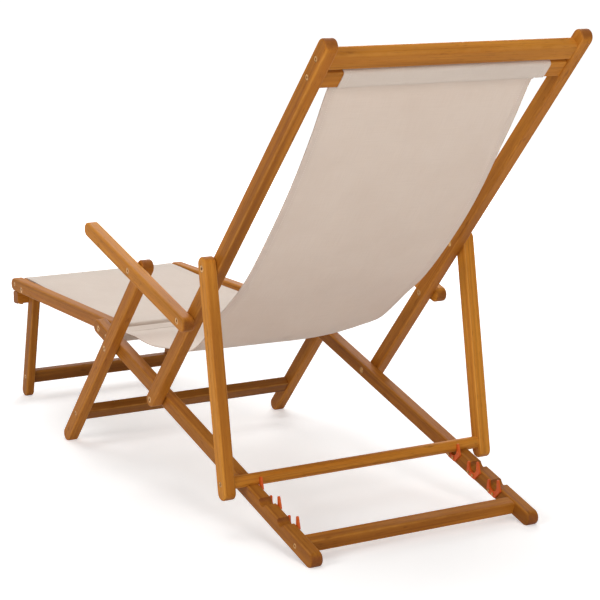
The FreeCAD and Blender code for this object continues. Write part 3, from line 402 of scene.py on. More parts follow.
class Effects:
    """Shader effects that several finishes share, each built once."""

    def __init__(self) -> None:
        """Build every group."""
        self.grain = self._grain()
        self.arris = self._arris()
        self.end_grain = self._end_grain()
        self.mottle = self._mottle()
        self.weave = self._weave()

    @staticmethod
    def _grain() -> bpy.types.NodeTree:
        """Straight hardwood grain along local X: streaks, growth bands, flecks and open pores.

        Returns:
            The group's tree.
        """
        tones = [(name, "colour") for name in ("Light", "Body", "Dark")]
        inputs = [("Place", "vector"), ("Seed", "value"), *tones]
        outputs = [("Color", "colour"), ("Roughness", "value"), ("Height", "value")]
        wiring, given, leave = shared_group("timber_grain", inputs, outputs)
        seed = wiring.even(given["Seed"])
        step = wiring.vector("MULTIPLY", (1.73, 0.37, 0.61), seed).outputs[0]
        place = wiring.vector("ADD", given["Place"], step).outputs[0]
        streak = wiring.drawn_noise(place, (2.6, 95.0, 95.0), 5.0, 0.62, 0.35)
        band = wiring.drawn_noise(place, (0.9, 17.0, 17.0), 3.0, 0.5, 0.6)
        patch = wiring.drawn_noise(place, (5.0, 9.0, 9.0), 2.0)
        pore = wiring.ramp(wiring.drawn_noise(place, (48.0, 1000.0, 1000.0), 1.0), 0.6, 0.72)
        line = wiring.drawn_noise(place, (1.4, 210.0, 210.0), 2.0, 0.5, 1.2)
        line = wiring.ramp(line, 0.56, 0.7)
        fleck = wiring.drawn_noise(place, (22.0, 80.0, 80.0), 2.0)
        fleck = wiring.ramp(fleck, 0.66, 0.76, 0.0, 0.5)
        tone = wiring.mix(wiring.ramp(streak, 0.3, 0.7), given["Body"], given["Light"])
        tone = wiring.mix(wiring.ramp(band, 0.42, 0.78, 0.0, 0.62), tone, given["Dark"])
        tone = wiring.mix(wiring.ramp(patch, 0.45, 0.85, 0.0, 0.3), tone, given["Light"])
        for share in (fleck, wiring.scaled(line, 0.34), wiring.scaled(pore, 0.42)):
            tone = wiring.mix(share, tone, given["Dark"])
        gloss = wiring.ramp(streak, 0.25, 0.75, 0.5, 0.62)
        rough = wiring.math("ADD", gloss, wiring.scaled(pore, 0.14))
        height = wiring.math("SUBTRACT", wiring.scaled(streak, 0.5), wiring.scaled(pore, 0.8))
        height = wiring.math("SUBTRACT", height, wiring.scaled(line, 0.3))
        wiring.fill(leave, Color=tone, Roughness=rough, Height=height)
        return wiring.tree

    @staticmethod
    def _arris() -> bpy.types.NodeTree:
        """Mask of a rail's rounded long edges, from its own coordinates.

        Returns:
            The group's tree.
        """
        sizes = [(name, "value") for name in ("Half Depth", "Half Width", "Edge")]
        wiring, given, leave = shared_group(
            "rounded_edge", [("Place", "vector"), *sizes], [("Mask", "value")]
        )
        parts = wiring.parts(given["Place"])
        sides = []
        for axis, half in ((1, "Half Depth"), (2, "Half Width")):
            start = wiring.math("SUBTRACT", given[half], given["Edge"])
            sides.append(wiring.math("SUBTRACT", wiring.math("ABSOLUTE", parts[axis]), start))
        share = wiring.math("DIVIDE", wiring.math("MINIMUM", *sides), given["Edge"], True)
        # Patchy break-up of the edge mask, which lightens the edges as wear and a painted
        # highlight.
        breakup = wiring.ramp(wiring.noise(given["Place"], 38.0, 4.0, 0.6), 0.35, 0.7, 0.35, 1.0)
        wiring.fill(leave, Mask=wiring.scaled(wiring.ramp(share, 0.05, 0.7), breakup))
        return wiring.tree

    @staticmethod
    def _end_grain() -> bpy.types.NodeTree:
        """Mask of the surfaces that cut across the grain.

        Returns:
            The group's tree.
        """
        inputs = [("Normal", "vector"), ("Axis", "vector")]
        wiring, given, leave = shared_group("end_grain", inputs, [("Mask", "value")])
        facing = wiring.vector("DOT_PRODUCT", given["Normal"], given["Axis"]).outputs["Value"]
        wiring.fill(leave, Mask=wiring.ramp(wiring.math("ABSOLUTE", facing), 0.35, 0.95))
        return wiring.tree

    @staticmethod
    def _mottle() -> bpy.types.NodeTree:
        """Soft uneven toning with fine speckle, for metal, plastic and cloth.

        Returns:
            The group's tree.
        """
        inputs = [("Place", "vector"), ("Scale", "value")]
        outputs = [("Cloud", "value"), ("Speckle", "value")]
        wiring, given, leave = shared_group("mottle", inputs, outputs)
        scale = wiring.even(given["Scale"])
        place = wiring.vector("MULTIPLY", given["Place"], scale).outputs[0]
        cloud = wiring.noise(place, 1.0, 3.0, 0.55)
        wiring.fill(leave, Cloud=cloud, Speckle=wiring.noise(place, 14.0, 2.0, 0.6))
        return wiring.tree

    @staticmethod
    def _weave() -> bpy.types.NodeTree:
        """Plain weave over a map in metres, with slubs in both thread directions.

        Returns:
            The group's tree.
        """
        inputs = [("Place", "vector"), ("Pitch", "value")]
        outputs = [("Thread", "value"), ("Slub", "value")]
        wiring, given, leave = shared_group("plain_weave", inputs, outputs)
        waves = []
        for part in wiring.parts(given["Place"])[:2]:
            turns = wiring.math("DIVIDE", part, given["Pitch"])
            waves.append(wiring.math("SINE", wiring.scaled(turns, math.pi)))
        thread = wiring.math("ADD", wiring.scaled(wiring.scaled(*waves), 0.5), 0.5)
        warp = wiring.drawn_noise(given["Place"], (900.0, 18.0, 1.0), 2.0)
        weft = wiring.drawn_noise(given["Place"], (18.0, 900.0, 1.0), 2.0)
        slub = wiring.scaled(wiring.math("ADD", warp, weft), 0.5)
        wiring.fill(leave, Thread=thread, Slub=slub)
        return wiring.tree


def blank_material(name: str) -> Tuple[Material, Wiring, Node]:
    """Start a material with a lone surface shader.

    Args:
        name: name of the material.

    Returns:
        The material, its wiring and its shader node.
    """
    material = bpy.data.materials.new(name)
    material.use_nodes = True
    material.node_tree.nodes.clear()
    wiring = Wiring(material.node_tree)
    shader = wiring.node("ShaderNodeBsdfPrincipled")
    leave = wiring.node("ShaderNodeOutputMaterial")
    wiring.feed(leave.inputs["Surface"], shader.outputs[0])
    return material, wiring, shader


# Finishes

@dataclass(frozen=True)
class TimberFinish:
    """Oiled hardwood with a thin satin coat."""

    light: Colour = srgb(191, 122, 40)
    body: Colour = srgb(170, 100, 25)
    dark: Colour = srgb(113, 61, 13)
    # The next colour and the edge share lighten the rounded edges: partly wear, partly a painted
    # highlight.
    worn_and_highlit: Colour = srgb(218, 153, 77)
    end: Colour = srgb(112, 56, 30)
    edge_wear_and_highlight: float = 0.3
    edge_polish: float = 0.06
    end_stain: float = 0.55
    coat: float = 0.04
    coat_rough: float = 0.3
    specular: float = 0.12
    relief: Tuple[float, float] = (0.35, 0.0004)

    def material(self, piece: "Timber", effects: Effects, seed: float) -> Material:
        """Make the material of one piece of timber.

        Args:
            piece: the piece, with its grain and section.
            effects: shared shader effects.
            seed: number that sets its own figure.

        Returns:
            The material.
        """
        material, wiring, shader = blank_material("timber_" + piece.node)
        turn = piece.grain.turn()
        low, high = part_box(piece.node)
        coords = wiring.node("ShaderNodeTexCoord").outputs
        mapping = wiring.node("ShaderNodeMapping", vector_type="TEXTURE")
        wiring.fill(mapping, Vector=coords["Object"], Location=(low + high) / 2.0)
        wiring.fill(mapping, Rotation=turn.to_euler("XYZ"))
        place = mapping.outputs[0]
        tones = {"Light": self.light, "Body": self.body, "Dark": self.dark}
        figure = wiring.group(effects.grain, Place=place, Seed=seed, **tones).outputs
        section = {"Half_Depth": piece.half_depth, "Half_Width": piece.half_width}
        arris = wiring.group(effects.arris, Place=place, Edge=piece.edge, **section).outputs[0]
        ends = wiring.group(effects.end_grain, Normal=coords["Normal"], Axis=tuple(turn.col[0]))
        # Rounded edges lightened: partly wear, partly a painted highlight where light catches them.
        tone = wiring.mix(wiring.scaled(arris, self.edge_wear_and_highlight), figure["Color"], self.worn_and_highlit)
        tone = wiring.mix(wiring.scaled(ends.outputs[0], self.end_stain), tone, self.end)
        polish = wiring.scaled(arris, self.edge_polish)
        rough = wiring.math("SUBTRACT", figure["Roughness"], polish)
        wiring.fill(shader, Base_Color=tone, Roughness=rough, Specular_IOR_Level=self.specular)
        wiring.fill(shader, Coat_Weight=self.coat, Coat_Roughness=self.coat_rough)
        wiring.bump(shader, figure["Height"], *self.relief)
        return material


@dataclass(frozen=True)
class MottledFinish:
    """A surface of two tones in soft uneven patches, with fine speckle."""

    name: str
    body: Colour
    patch: Colour
    scale: float
    cover: Tuple[float, float, float]
    rough: Tuple[float, float]
    relief: Tuple[float, float]
    metallic: float = 0.0
    specular: float = 0.5

    def material(self, effects: Effects) -> Material:
        """Make the material.

        Args:
            effects: shared shader effects.

        Returns:
            The material.
        """
        material, wiring, shader = blank_material(self.name)
        place = wiring.node("ShaderNodeTexCoord").outputs["Object"]
        mottle = wiring.group(effects.mottle, Place=place, Scale=self.scale).outputs
        low, high, most = self.cover
        share = wiring.ramp(mottle["Cloud"], low, high, 0.0, most)
        smooth, dull = self.rough
        rough = wiring.ramp(mottle["Cloud"], 0.3, 0.8, smooth, dull) if dull > smooth else dull
        wiring.fill(shader, Base_Color=wiring.mix(share, self.body, self.patch), Roughness=rough)
        wiring.fill(shader, Metallic=self.metallic, Specular_IOR_Level=self.specular)
        wiring.bump(shader, mottle["Speckle"], *self.relief)
        return material


@dataclass(frozen=True)
class CanvasFinish:
    """Plain woven canvas in a warm pale grey-beige."""

    body: Colour = srgb(218, 201, 187)
    shade: Colour = srgb(206, 187, 172)
    thread: Colour = srgb(227, 213, 201)
    pitch: float = 0.0009
    patch_scale: float = 7.0
    hem: float = 0.013
    stitch: float = 0.0045
    through: float = 0.55
    through_depth: float = 0.003
    sheen: float = 0.1
    sheen_rough: float = 0.5
    relief: Tuple[float, float] = (0.4, 0.0003)

    def material(self, name: str, effects: Effects, half_width: float) -> Material:
        """Make the canvas of one sheet, with a sewn line along each side hem.

        Args:
            name: name of the sheet.
            effects: shared shader effects.
            half_width: half of the sheet's width.

        Returns:
            The material.
        """
        material, wiring, shader = blank_material("canvas_" + name)
        place = wiring.node("ShaderNodeUVMap", uv_map="cut").outputs[0]
        weave = wiring.group(effects.weave, Place=place, Pitch=self.pitch).outputs
        mottle = wiring.group(effects.mottle, Place=place, Scale=self.patch_scale).outputs
        patch = wiring.ramp(mottle["Cloud"], 0.3, 0.75, 0.0, 0.45)
        tone = wiring.mix(patch, self.body, self.shade)
        tone = wiring.mix(wiring.ramp(weave["Slub"], 0.42, 0.62, 0.0, 0.35), tone, self.shade)
        tone = wiring.mix(wiring.scaled(weave["Thread"], 0.22), tone, self.thread)
        across, along, _ = wiring.parts(place)
        inset = wiring.math("SUBTRACT", half_width - self.hem, wiring.math("ABSOLUTE", across))
        inset = wiring.math("ABSOLUTE", inset)
        near = wiring.ramp(inset, 0.0004, 0.0011, 1.0, 0.0)
        beat = wiring.math("SINE", wiring.scaled(along, 2.0 * math.pi / self.stitch))
        sewn = wiring.scaled(near, wiring.ramp(beat, -0.5, 0.1))
        # Painted shade: the canvas is darkened in the groove along the sewn hem line.
        seam = wiring.ramp(inset, 0.0006, 0.003, 1.0, 0.0)
        tone = wiring.mix(wiring.scaled(seam, 0.25), tone, self.shade)
        tone = wiring.mix(sewn, tone, self.thread)
        rough = wiring.ramp(weave["Slub"], 0.35, 0.65, 0.8, 0.92)
        wiring.fill(shader, Base_Color=tone, Roughness=rough)
        wiring.fill(shader, Subsurface_Weight=self.through, Subsurface_Radius=(1.0, 1.0, 1.0))
        wiring.fill(shader, Subsurface_Scale=self.through_depth)
        wiring.fill(shader, Sheen_Weight=self.sheen, Sheen_Roughness=self.sheen_rough)
        relief = wiring.math("ADD", weave["Thread"], wiring.scaled(weave["Slub"], 0.8))
        stitches = wiring.math("SUBTRACT", wiring.scaled(sewn, 2.0), seam)
        wiring.bump(shader, wiring.math("ADD", relief, stitches), *self.relief)
        return material


class TimberToneAndLight(Enum):
    """Tone of a piece of timber: partly the plank's own colour, partly painted light and shade,
    lighter on brightly lit pieces and darker on shaded ones.
    """

    PALE = "pale"
    MID = "mid"
    DEEP = "deep"
    DARK = "dark"


class Finishes:
    """The finishes of the whole lounger, each made once."""

    def __init__(self, effects: Effects) -> None:
        """Make the shared materials from the shared effects.

        Args:
            effects: shared shader effects.
        """
        # The pale lit tone is partly painted light and sheen; the deep and dark shaded tones are
        # partly painted shade.
        self.timber: Dict[TimberToneAndLight, TimberFinish] = {
            TimberToneAndLight.PALE: TimberFinish(srgb(212, 141, 50), srgb(190, 116, 32), srgb(128, 72, 17)),
            TimberToneAndLight.MID: TimberFinish(),
            TimberToneAndLight.DEEP: TimberFinish(srgb(172, 108, 34), srgb(152, 88, 21), srgb(101, 53, 11)),
            TimberToneAndLight.DARK: TimberFinish(srgb(148, 92, 28), srgb(130, 74, 18), srgb(87, 46, 9)),
        }
        self.canvas = CanvasFinish()
        brass = MottledFinish(
            "brass_plate", srgb(200, 152, 92), srgb(136, 92, 48), scale=160.0,
            cover=(0.35, 0.75, 1.0), rough=(0.24, 0.46), relief=(0.12, 0.0002), metallic=1.0,
        )
        plastic = MottledFinish(
            "orange_moulding", srgb(212, 86, 24), srgb(224, 106, 38), scale=90.0,
            cover=(0.35, 0.75, 0.7), rough=(0.36, 0.5), relief=(0.2, 0.0003), specular=0.25,
        )
        thread = MottledFinish(
            "sewing_thread", self.canvas.thread, self.canvas.shade, scale=400.0,
            cover=(0.3, 0.7, 1.0), rough=(0.75, 0.75), relief=(0.3, 0.0001),
        )
        self.brass = brass.material(effects)
        self.plastic = plastic.material(effects)
        self.thread = thread.material(effects)


def paint(item: bpy.types.Object, material: Material) -> None:
    """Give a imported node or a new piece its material.

    Args:
        item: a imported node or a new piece.
        material: material for all of it.
    """
    item.data.materials.clear()
    item.data.materials.append(material)
    LOG.info("dressed %s with %s", item.name, material.name)


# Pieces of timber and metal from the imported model

@dataclass
class Timber:
    """One wooden node, with the way its grain runs, its section and its tone, which is partly
    painted light and shade.
    """

    node: str
    grain: Grain
    half_depth: float = 0.015
    half_width: float = 0.0125
    edge: float = 0.004
    tone_and_light: TimberToneAndLight = TimberToneAndLight.MID


@dataclass
class WoodenFrame:
    """A sub-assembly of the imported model: its timber, brass fixings and plastic."""

    name: str
    timber: List[Timber]
    brass: List[str] = field(default_factory=list)
    plastic: List[str] = field(default_factory=list)

    def dress(self, effects: Effects, finishes: Finishes, seed: float) -> float:
        """Dress every node of the sub-assembly.

        Args:
            effects: shared shader effects.
            finishes: all the finishes.
            seed: figure number of its first piece of timber.

        Returns:
            The figure number for the next piece.
        """
        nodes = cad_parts
        for piece in self.timber:
            finish = finishes.timber[piece.tone_and_light]
            paint(nodes[piece.node], finish.material(piece, effects, seed))
            seed += 1.0
        for names, material in ((self.brass, finishes.brass), (self.plastic, finishes.plastic)):
            for node in names:
                paint(nodes[node], material)
        LOG.info("finished %s", self.name)
        return seed


def pair(
    name: str, grain: Grain, half_width: float = 0.0125, tone_and_light: TimberToneAndLight = TimberToneAndLight.MID
) -> List[Timber]:
    """The left and right rail of a pair.

    Args:
        name: shared part of their names.
        grain: which way the grain runs.
        half_width: half of their thickness.
        tone_and_light: their tone, partly the plank's own colour and partly painted light and
            shade.

    Returns:
        Both rails.
    """
    sides = ("_left", "_right")
    return [Timber(name + side, grain, half_width=half_width, tone_and_light=tone_and_light) for side in sides]


def wooden_frames() -> List[WoodenFrame]:
    """List every sub-assembly of timber and fixings.

    Returns:
        The sub-assemblies, from the base up.
    """
    base = WoodenFrame(
        "base_frame",
        [
            # Deep shaded tone: painted shade on the low base rails.
            *pair("base_rail", Grain.BASE, tone_and_light=TimberToneAndLight.DEEP),
            Timber("rear_crossbar", Grain.ACROSS_BASE, 0.013, 0.0125),
            Timber("seat_sling_bar", Grain.ACROSS_BASE, 0.008, 0.0125),
        ],
        ["base_screws", "hook_screws", "base_pivot_bolts"],
        ["dowel_hooks_left", "dowel_hooks_right"],
    )
    back = WoodenFrame(
        "back_frame",
        [
            *pair("back_rail", Grain.BACK),
            # Pale lit tone: painted light and sheen on the top crossbar.
            Timber("top_crossbar", Grain.ACROSS_BACK, 0.019, 0.0125, 0.008, TimberToneAndLight.PALE),
            Timber("upper_sling_bar", Grain.ACROSS_BACK, 0.018, 0.011),
        ],
        ["back_screws", "back_pivot_bolts"],
    )
    legs = WoodenFrame(
        "front_legs",
        [
            *pair("front_leg", Grain.BACK),
            # Dark shaded tone: painted shade on the crossbar under the seat.
            Timber("leg_crossbar", Grain.ACROSS_BACK, 0.016, 0.011, tone_and_light=TimberToneAndLight.DARK),
        ],
        ["leg_screws", "arm_pivot_bolts"],
    )
    # Pale lit tone: painted light and sheen on the armrests.
    arms = WoodenFrame("armrests", pair("armrest", Grain.BASE, tone_and_light=TimberToneAndLight.PALE))
    prop = WoodenFrame(
        "prop",
        [
            # Pale lit tone: painted light on the prop legs and dowel.
            *pair("prop_leg", Grain.PROP, tone_and_light=TimberToneAndLight.PALE),
            Timber("prop_dowel", Grain.ACROSS_PROP, 0.02, 0.02, 0.004, TimberToneAndLight.PALE),
        ],
        ["prop_screws"],
    )
    footrest = WoodenFrame(
        "footrest",
        [
            *pair("footrest_rail", Grain.FOOTREST),
            Timber("footrest_front_bar", Grain.ACROSS_FOOTREST, 0.012, 0.010),
            Timber("footrest_heel_bar", Grain.ACROSS_FOOTREST, 0.010, 0.007),
            Timber("footrest_stop_bar", Grain.ACROSS_FOOTREST, 0.0125, 0.014),
        ],
        ["footrest_screws", "stop_bar_screws"],
    )
    foot_legs = WoodenFrame(
        "footrest_legs",
        [
            # Deep and dark shaded tones: painted shade on the low foot legs and their crossbar.
            *pair("foot_leg", Grain.FOOT_LEG, 0.010, TimberToneAndLight.DEEP),
            Timber("foot_leg_crossbar", Grain.ACROSS_FOOT_LEG, 0.016, 0.009, tone_and_light=TimberToneAndLight.DARK),
        ],
        ["foot_leg_screws", "foot_leg_bolts"],
    )
    return [base, back, legs, arms, prop, footrest, foot_legs]


# Paths in the side view

def run_lengths(path: np.ndarray) -> np.ndarray:
    """Distance along a path to each of its points."""
    return np.concatenate([[0.0], np.cumsum(np.linalg.norm(np.diff(path, axis=0), axis=1))])


def smooth_curve(points: Sequence[Point2], count: int) -> List[Point2]:
    """Run a natural cubic through side-view points.

    Args:
        points: points to pass through.
        count: points to return.

    Returns:
        Points along the curve.
    """
    known = np.array(points, float)
    gaps = np.linalg.norm(np.diff(known, axis=0), axis=1)
    knots = run_lengths(known)
    size = len(knots)
    matrix = np.zeros((size, size))
    right = np.zeros((size, 2))
    matrix[0, 0] = matrix[-1, -1] = 1.0
    for row in range(1, size - 1):
        before, after = gaps[row - 1], gaps[row]
        matrix[row, row - 1 : row + 2] = (before, 2.0 * (before + after), after)
        ahead = (known[row + 1] - known[row]) / after
        right[row] = 6.0 * (ahead - (known[row] - known[row - 1]) / before)
    bend = np.linalg.solve(matrix, right)
    result = []
    for at in np.linspace(0.0, knots[-1], count):
        cell = max(min(int(np.searchsorted(knots, at, side="right")) - 1, size - 2), 0)
        gap = gaps[cell]
        one = (knots[cell + 1] - at) / gap
        two = (at - knots[cell]) / gap
        lift = (one**3 - one) * bend[cell] + (two**3 - two) * bend[cell + 1]
        spot = one * known[cell] + two * known[cell + 1] + lift * gap * gap / 6.0
        result.append((float(spot[0]), float(spot[1])))
    return result


def rounded_corners(corners: Sequence[Point3], step: float = 0.0016) -> List[Point2]:
    """Turn a path of corners into points with a round at each corner.

    Args:
        corners: (y, z, radius) of each corner; the ends have no round.
        step: distance between points on the rounds.

    Returns:
        Points along the path.
    """
    path: List[Point2] = [corners[0][:2]]
    for before, here, after in zip(corners, corners[1:], corners[2:]):
        spot, radius = Vector(here[:2]), here[2]
        back = (Vector(before[:2]) - spot).normalized()
        ahead = (Vector(after[:2]) - spot).normalized()
        half = math.acos(max(-1.0, min(1.0, back.dot(ahead)))) / 2.0
        reach = radius / math.tan(half)
        middle = spot + (back + ahead).normalized() * (radius / math.sin(half))
        first = spot + back * reach - middle
        last = spot + ahead * reach - middle
        turn = math.atan2(first.x * last.y - first.y * last.x, first.dot(last))
        count = max(3, int(radius * (math.pi - 2.0 * half) / step))
        for index in range(count + 1):
            angle = turn * index / count
            cosine, sine = math.cos(angle), math.sin(angle)
            across = middle.x + cosine * first.x - sine * first.y
            path.append((across, middle.y + sine * first.x + cosine * first.y))
    path.append(corners[-1][:2])
    return path


def even_spacing(path: Sequence[Point2], step: float = 0.0032) -> np.ndarray:
    """Space points along a path evenly, keeping its ends.

    Args:
        path: points along the path.
        step: distance between the new points.

    Returns:
        The new points, as rows of (y, z).
    """
    known = np.array(path, float)
    gaps = np.linalg.norm(np.diff(known, axis=0), axis=1)
    known = known[np.concatenate([[True], gaps > 1e-7])]
    runs = run_lengths(known)
    spots = np.linspace(0.0, runs[-1], max(2, int(round(runs[-1] / step)) + 1))
    return np.stack([np.interp(spots, runs, known[:, axis]) for axis in (0, 1)], axis=1)


# Cloth

@dataclass(frozen=True)
class Ripple:
    """Slight unevenness of a sewn sheet: long and short waves, and drawn-in edges."""

    seed: float
    height: float = 0.0012
    long_rate: float = 9.0
    long_slant: float = 1.3
    cross_rate: float = 2.2
    short_height: float = 0.6
    short_rate: float = 23.0
    short_slant: float = 4.0
    edge_draw: float = 0.0011
    edge_rate: float = 13.0
    calm_reach: float = 0.22
    calm_start: float = 0.45

    def calm(self, runs: np.ndarray, length: float) -> np.ndarray:
        """How free the cloth is, from 0 at its pockets to 1 between them."""
        from_end = np.minimum(runs, length - runs)
        return np.clip(from_end / self.calm_reach - self.calm_start, 0.0, 1.0)

    def lift(self, runs: np.ndarray, share: np.ndarray) -> np.ndarray:
        """Height of the waves.

        Args:
            runs: distance of each point along the sheet.
            share: its place across, from -1 to 1.

        Returns:
            The height at each point.
        """
        long_wave = np.sin(runs * self.long_rate + self.seed + self.long_slant * share)
        waves = long_wave * np.cos(self.cross_rate * share + self.seed)
        turn = runs * self.short_rate + 2.0 * self.seed + self.short_slant * share
        return self.height * (waves + self.short_height * np.sin(turn))

    def draw(self, runs: np.ndarray, share: np.ndarray) -> np.ndarray:
        """How far the threads are drawn sideways."""
        return self.edge_draw * np.sin(runs * self.edge_rate + self.seed * 3.0) * share


@dataclass(frozen=True)
class Hang:
    """How a loose sheet bellies out in the middle and curls up at its side edges."""

    belly: float = 0.0
    belly_run: float = 0.5
    belly_reach: float = 0.3
    left_curl: float = 0.0
    right_curl: float = 0.0
    curl_run: float = 0.5
    curl_reach: float = 0.3

    @staticmethod
    def _hump(runs: np.ndarray, middle: float, reach: float) -> np.ndarray:
        """A smooth hump along the run, from 0 to 1."""
        return np.clip(1.0 - ((runs - middle) / reach) ** 2, 0.0, 1.0) ** 2

    def lift(self, runs: np.ndarray, share: np.ndarray) -> np.ndarray:
        """Step out of the path's line by belly and curl.

        Args:
            runs: distance of each point along the sheet.
            share: its place across, from -1 to 1.

        Returns:
            The step at each point.
        """
        belly = self.belly * self._hump(runs, self.belly_run, self.belly_reach)
        curl = np.where(share > 0.0, self.left_curl, self.right_curl)
        curl = curl * self._hump(runs, self.curl_run, self.curl_reach)
        return belly * (1.0 - share**2) - curl * share**2


@dataclass
class ClothSheet:
    """A sheet of canvas that runs along a side-view path, with a pocket at each end."""

    name: str
    path: np.ndarray
    half_width: float
    ripple: Ripple
    hang: Hang = Hang()
    thickness: float = 0.0012
    hem_width: float = 0.014
    hem_thickness: float = 0.002
    hem_roll: float = 0.004
    hem_step: float = 0.0012
    columns: int = 64
    smooth_angle: float = 50.0

    def column_places(self) -> np.ndarray:
        """Places of the lengthwise threads across the sheet, with both hems marked.

        Returns:
            The places, from one edge to the other.
        """
        edge = self.half_width - self.hem_width
        inner = np.linspace(-1.0, 1.0, self.columns - 3) * (edge - self.hem_step)
        hem = np.array([edge, self.half_width - self.hem_roll, self.half_width])
        return np.concatenate([-hem[::-1], inner, hem])

    def build(self) -> bpy.types.Object:
        """Model the sheet from a grid.

        Returns:
            The finished sheet.
        """
        places, rows = self.column_places(), len(self.path)
        bpy.ops.object.select_all(action="DESELECT")
        bpy.ops.mesh.primitive_grid_add(
            x_subdivisions=len(places) - 1, y_subdivisions=rows - 1, size=2.0
        )
        piece = bpy.context.object
        piece.name = piece.data.name = self.name
        grid = np.array([vertex.co for vertex in piece.data.vertices], float)
        column = np.rint((grid[:, 0] + 1.0) / 2.0 * (len(places) - 1)).astype(int)
        row = np.rint((grid[:, 1] + 1.0) / 2.0 * (rows - 1)).astype(int)
        across, runs = places[column], run_lengths(self.path)[row]
        share = across / self.half_width
        slopes = np.gradient(self.path, axis=0)
        slopes /= np.linalg.norm(slopes, axis=1)[:, None]
        normals = np.stack([-slopes[:, 1], slopes[:, 0]], axis=1)
        calm = self.ripple.calm(runs, self.length())
        lift = calm * self.ripple.lift(runs, share) + self.hang.lift(runs, share)
        spots = np.zeros_like(grid)
        spots[:, 0] = across + calm * self.ripple.draw(runs, share)
        spots[:, 1:] = self.path[row] + normals[row] * lift[:, None]
        piece.data.vertices.foreach_set("co", spots.astype(np.float32).ravel())
        self._mark_cut(piece.data, across, runs)
        self._thicken(piece, across)
        bpy.ops.object.select_all(action="DESELECT")
        piece.select_set(True)
        bpy.context.view_layer.objects.active = piece
        bpy.ops.object.shade_smooth_by_angle(angle=math.radians(self.smooth_angle))
        return piece

    @staticmethod
    def _mark_cut(mesh: bpy.types.Mesh, across: np.ndarray, run: np.ndarray) -> None:
        """Write each point's place on the flat cut, in metres, as the sheet's map.

        Args:
            mesh: the sheet's mesh.
            across: place across the cut.
            run: place along the cut.
        """
        for layer in list(mesh.uv_layers):
            mesh.uv_layers.remove(layer)
        layer = mesh.uv_layers.new(name="cut")
        corner = np.zeros(len(mesh.loops), int)
        mesh.loops.foreach_get("vertex_index", corner)
        flat = np.stack([across[corner], run[corner]], axis=1)
        layer.data.foreach_set("uv", flat.astype(np.float32).ravel())

    def _thicken(self, piece: bpy.types.Object, across: np.ndarray) -> None:
        """Give the sheet its thickness, with thicker side hems.

        Args:
            piece: the sheet.
            across: each point's place across it.
        """
        hem = piece.vertex_groups.new(name="hem")
        inside = np.abs(across) < self.half_width - self.hem_width - self.hem_step / 2.0
        for points, weight in ((inside, self.thickness / self.hem_thickness), (~inside, 1.0)):
            hem.add([int(point) for point in np.nonzero(points)[0]], weight, "REPLACE")
        solid = piece.modifiers.new("thickness", "SOLIDIFY")
        solid.thickness = self.hem_thickness
        solid.offset = 0.0
        solid.vertex_group = hem.name
        bpy.context.view_layer.objects.active = piece
        bpy.ops.object.modifier_apply(modifier=solid.name)
        piece.vertex_groups.clear()

    def length(self) -> float:
        """Length of the flat cut."""
        return float(run_lengths(self.path)[-1])


@dataclass
class SeamRow:
    """A row of stitches straight across a sheet."""

    name: str
    spot: Point2
    out: Point2
    half_width: float
    pitch: float = 0.0048
    stitch: float = 0.0034
    girth: float = 0.0009
    rounding: float = 0.3
    bare_edges: float = 0.008
    smooth_angle: float = 40.0

    def sew(self, body: str, finishes: Finishes) -> bpy.types.Object:
        """Model one stitch, repeat it across the sheet and fix the row to a body.

        Args:
            body: body that the row rides on.
            finishes: all the finishes.

        Returns:
            The row as one piece.
        """
        bpy.ops.object.select_all(action="DESELECT")
        bpy.ops.mesh.primitive_cylinder_add(
            vertices=6, radius=self.girth / 2.0, depth=self.stitch,
            rotation=(0.0, math.pi / 2.0, 0.0),
        )
        piece = bpy.context.object
        piece.name = self.name
        bpy.ops.object.transform_apply(location=True, rotation=True, scale=True)
        bpy.ops.object.mode_set(mode="EDIT")
        bpy.ops.mesh.select_all(action="SELECT")
        bpy.ops.mesh.bevel(offset=self.girth * self.rounding, segments=1)
        bpy.ops.object.mode_set(mode="OBJECT")
        count = int((2.0 * self.half_width - self.bare_edges) / self.pitch)
        row = piece.modifiers.new("row", "ARRAY")
        row.count = count
        row.use_relative_offset = False
        row.use_constant_offset = True
        row.constant_offset_displace = (self.pitch, 0.0, 0.0)
        bpy.ops.object.modifier_apply(modifier=row.name)
        start = -(count - 1) * self.pitch / 2.0
        place = (start, self.spot[0] + self.out[0], self.spot[1] + self.out[1])
        piece.data.transform(Matrix.Translation(place))
        bpy.ops.object.shade_smooth_by_angle(angle=math.radians(self.smooth_angle))
        paint(piece, finishes.thread)
        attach(piece, body)
        return piece


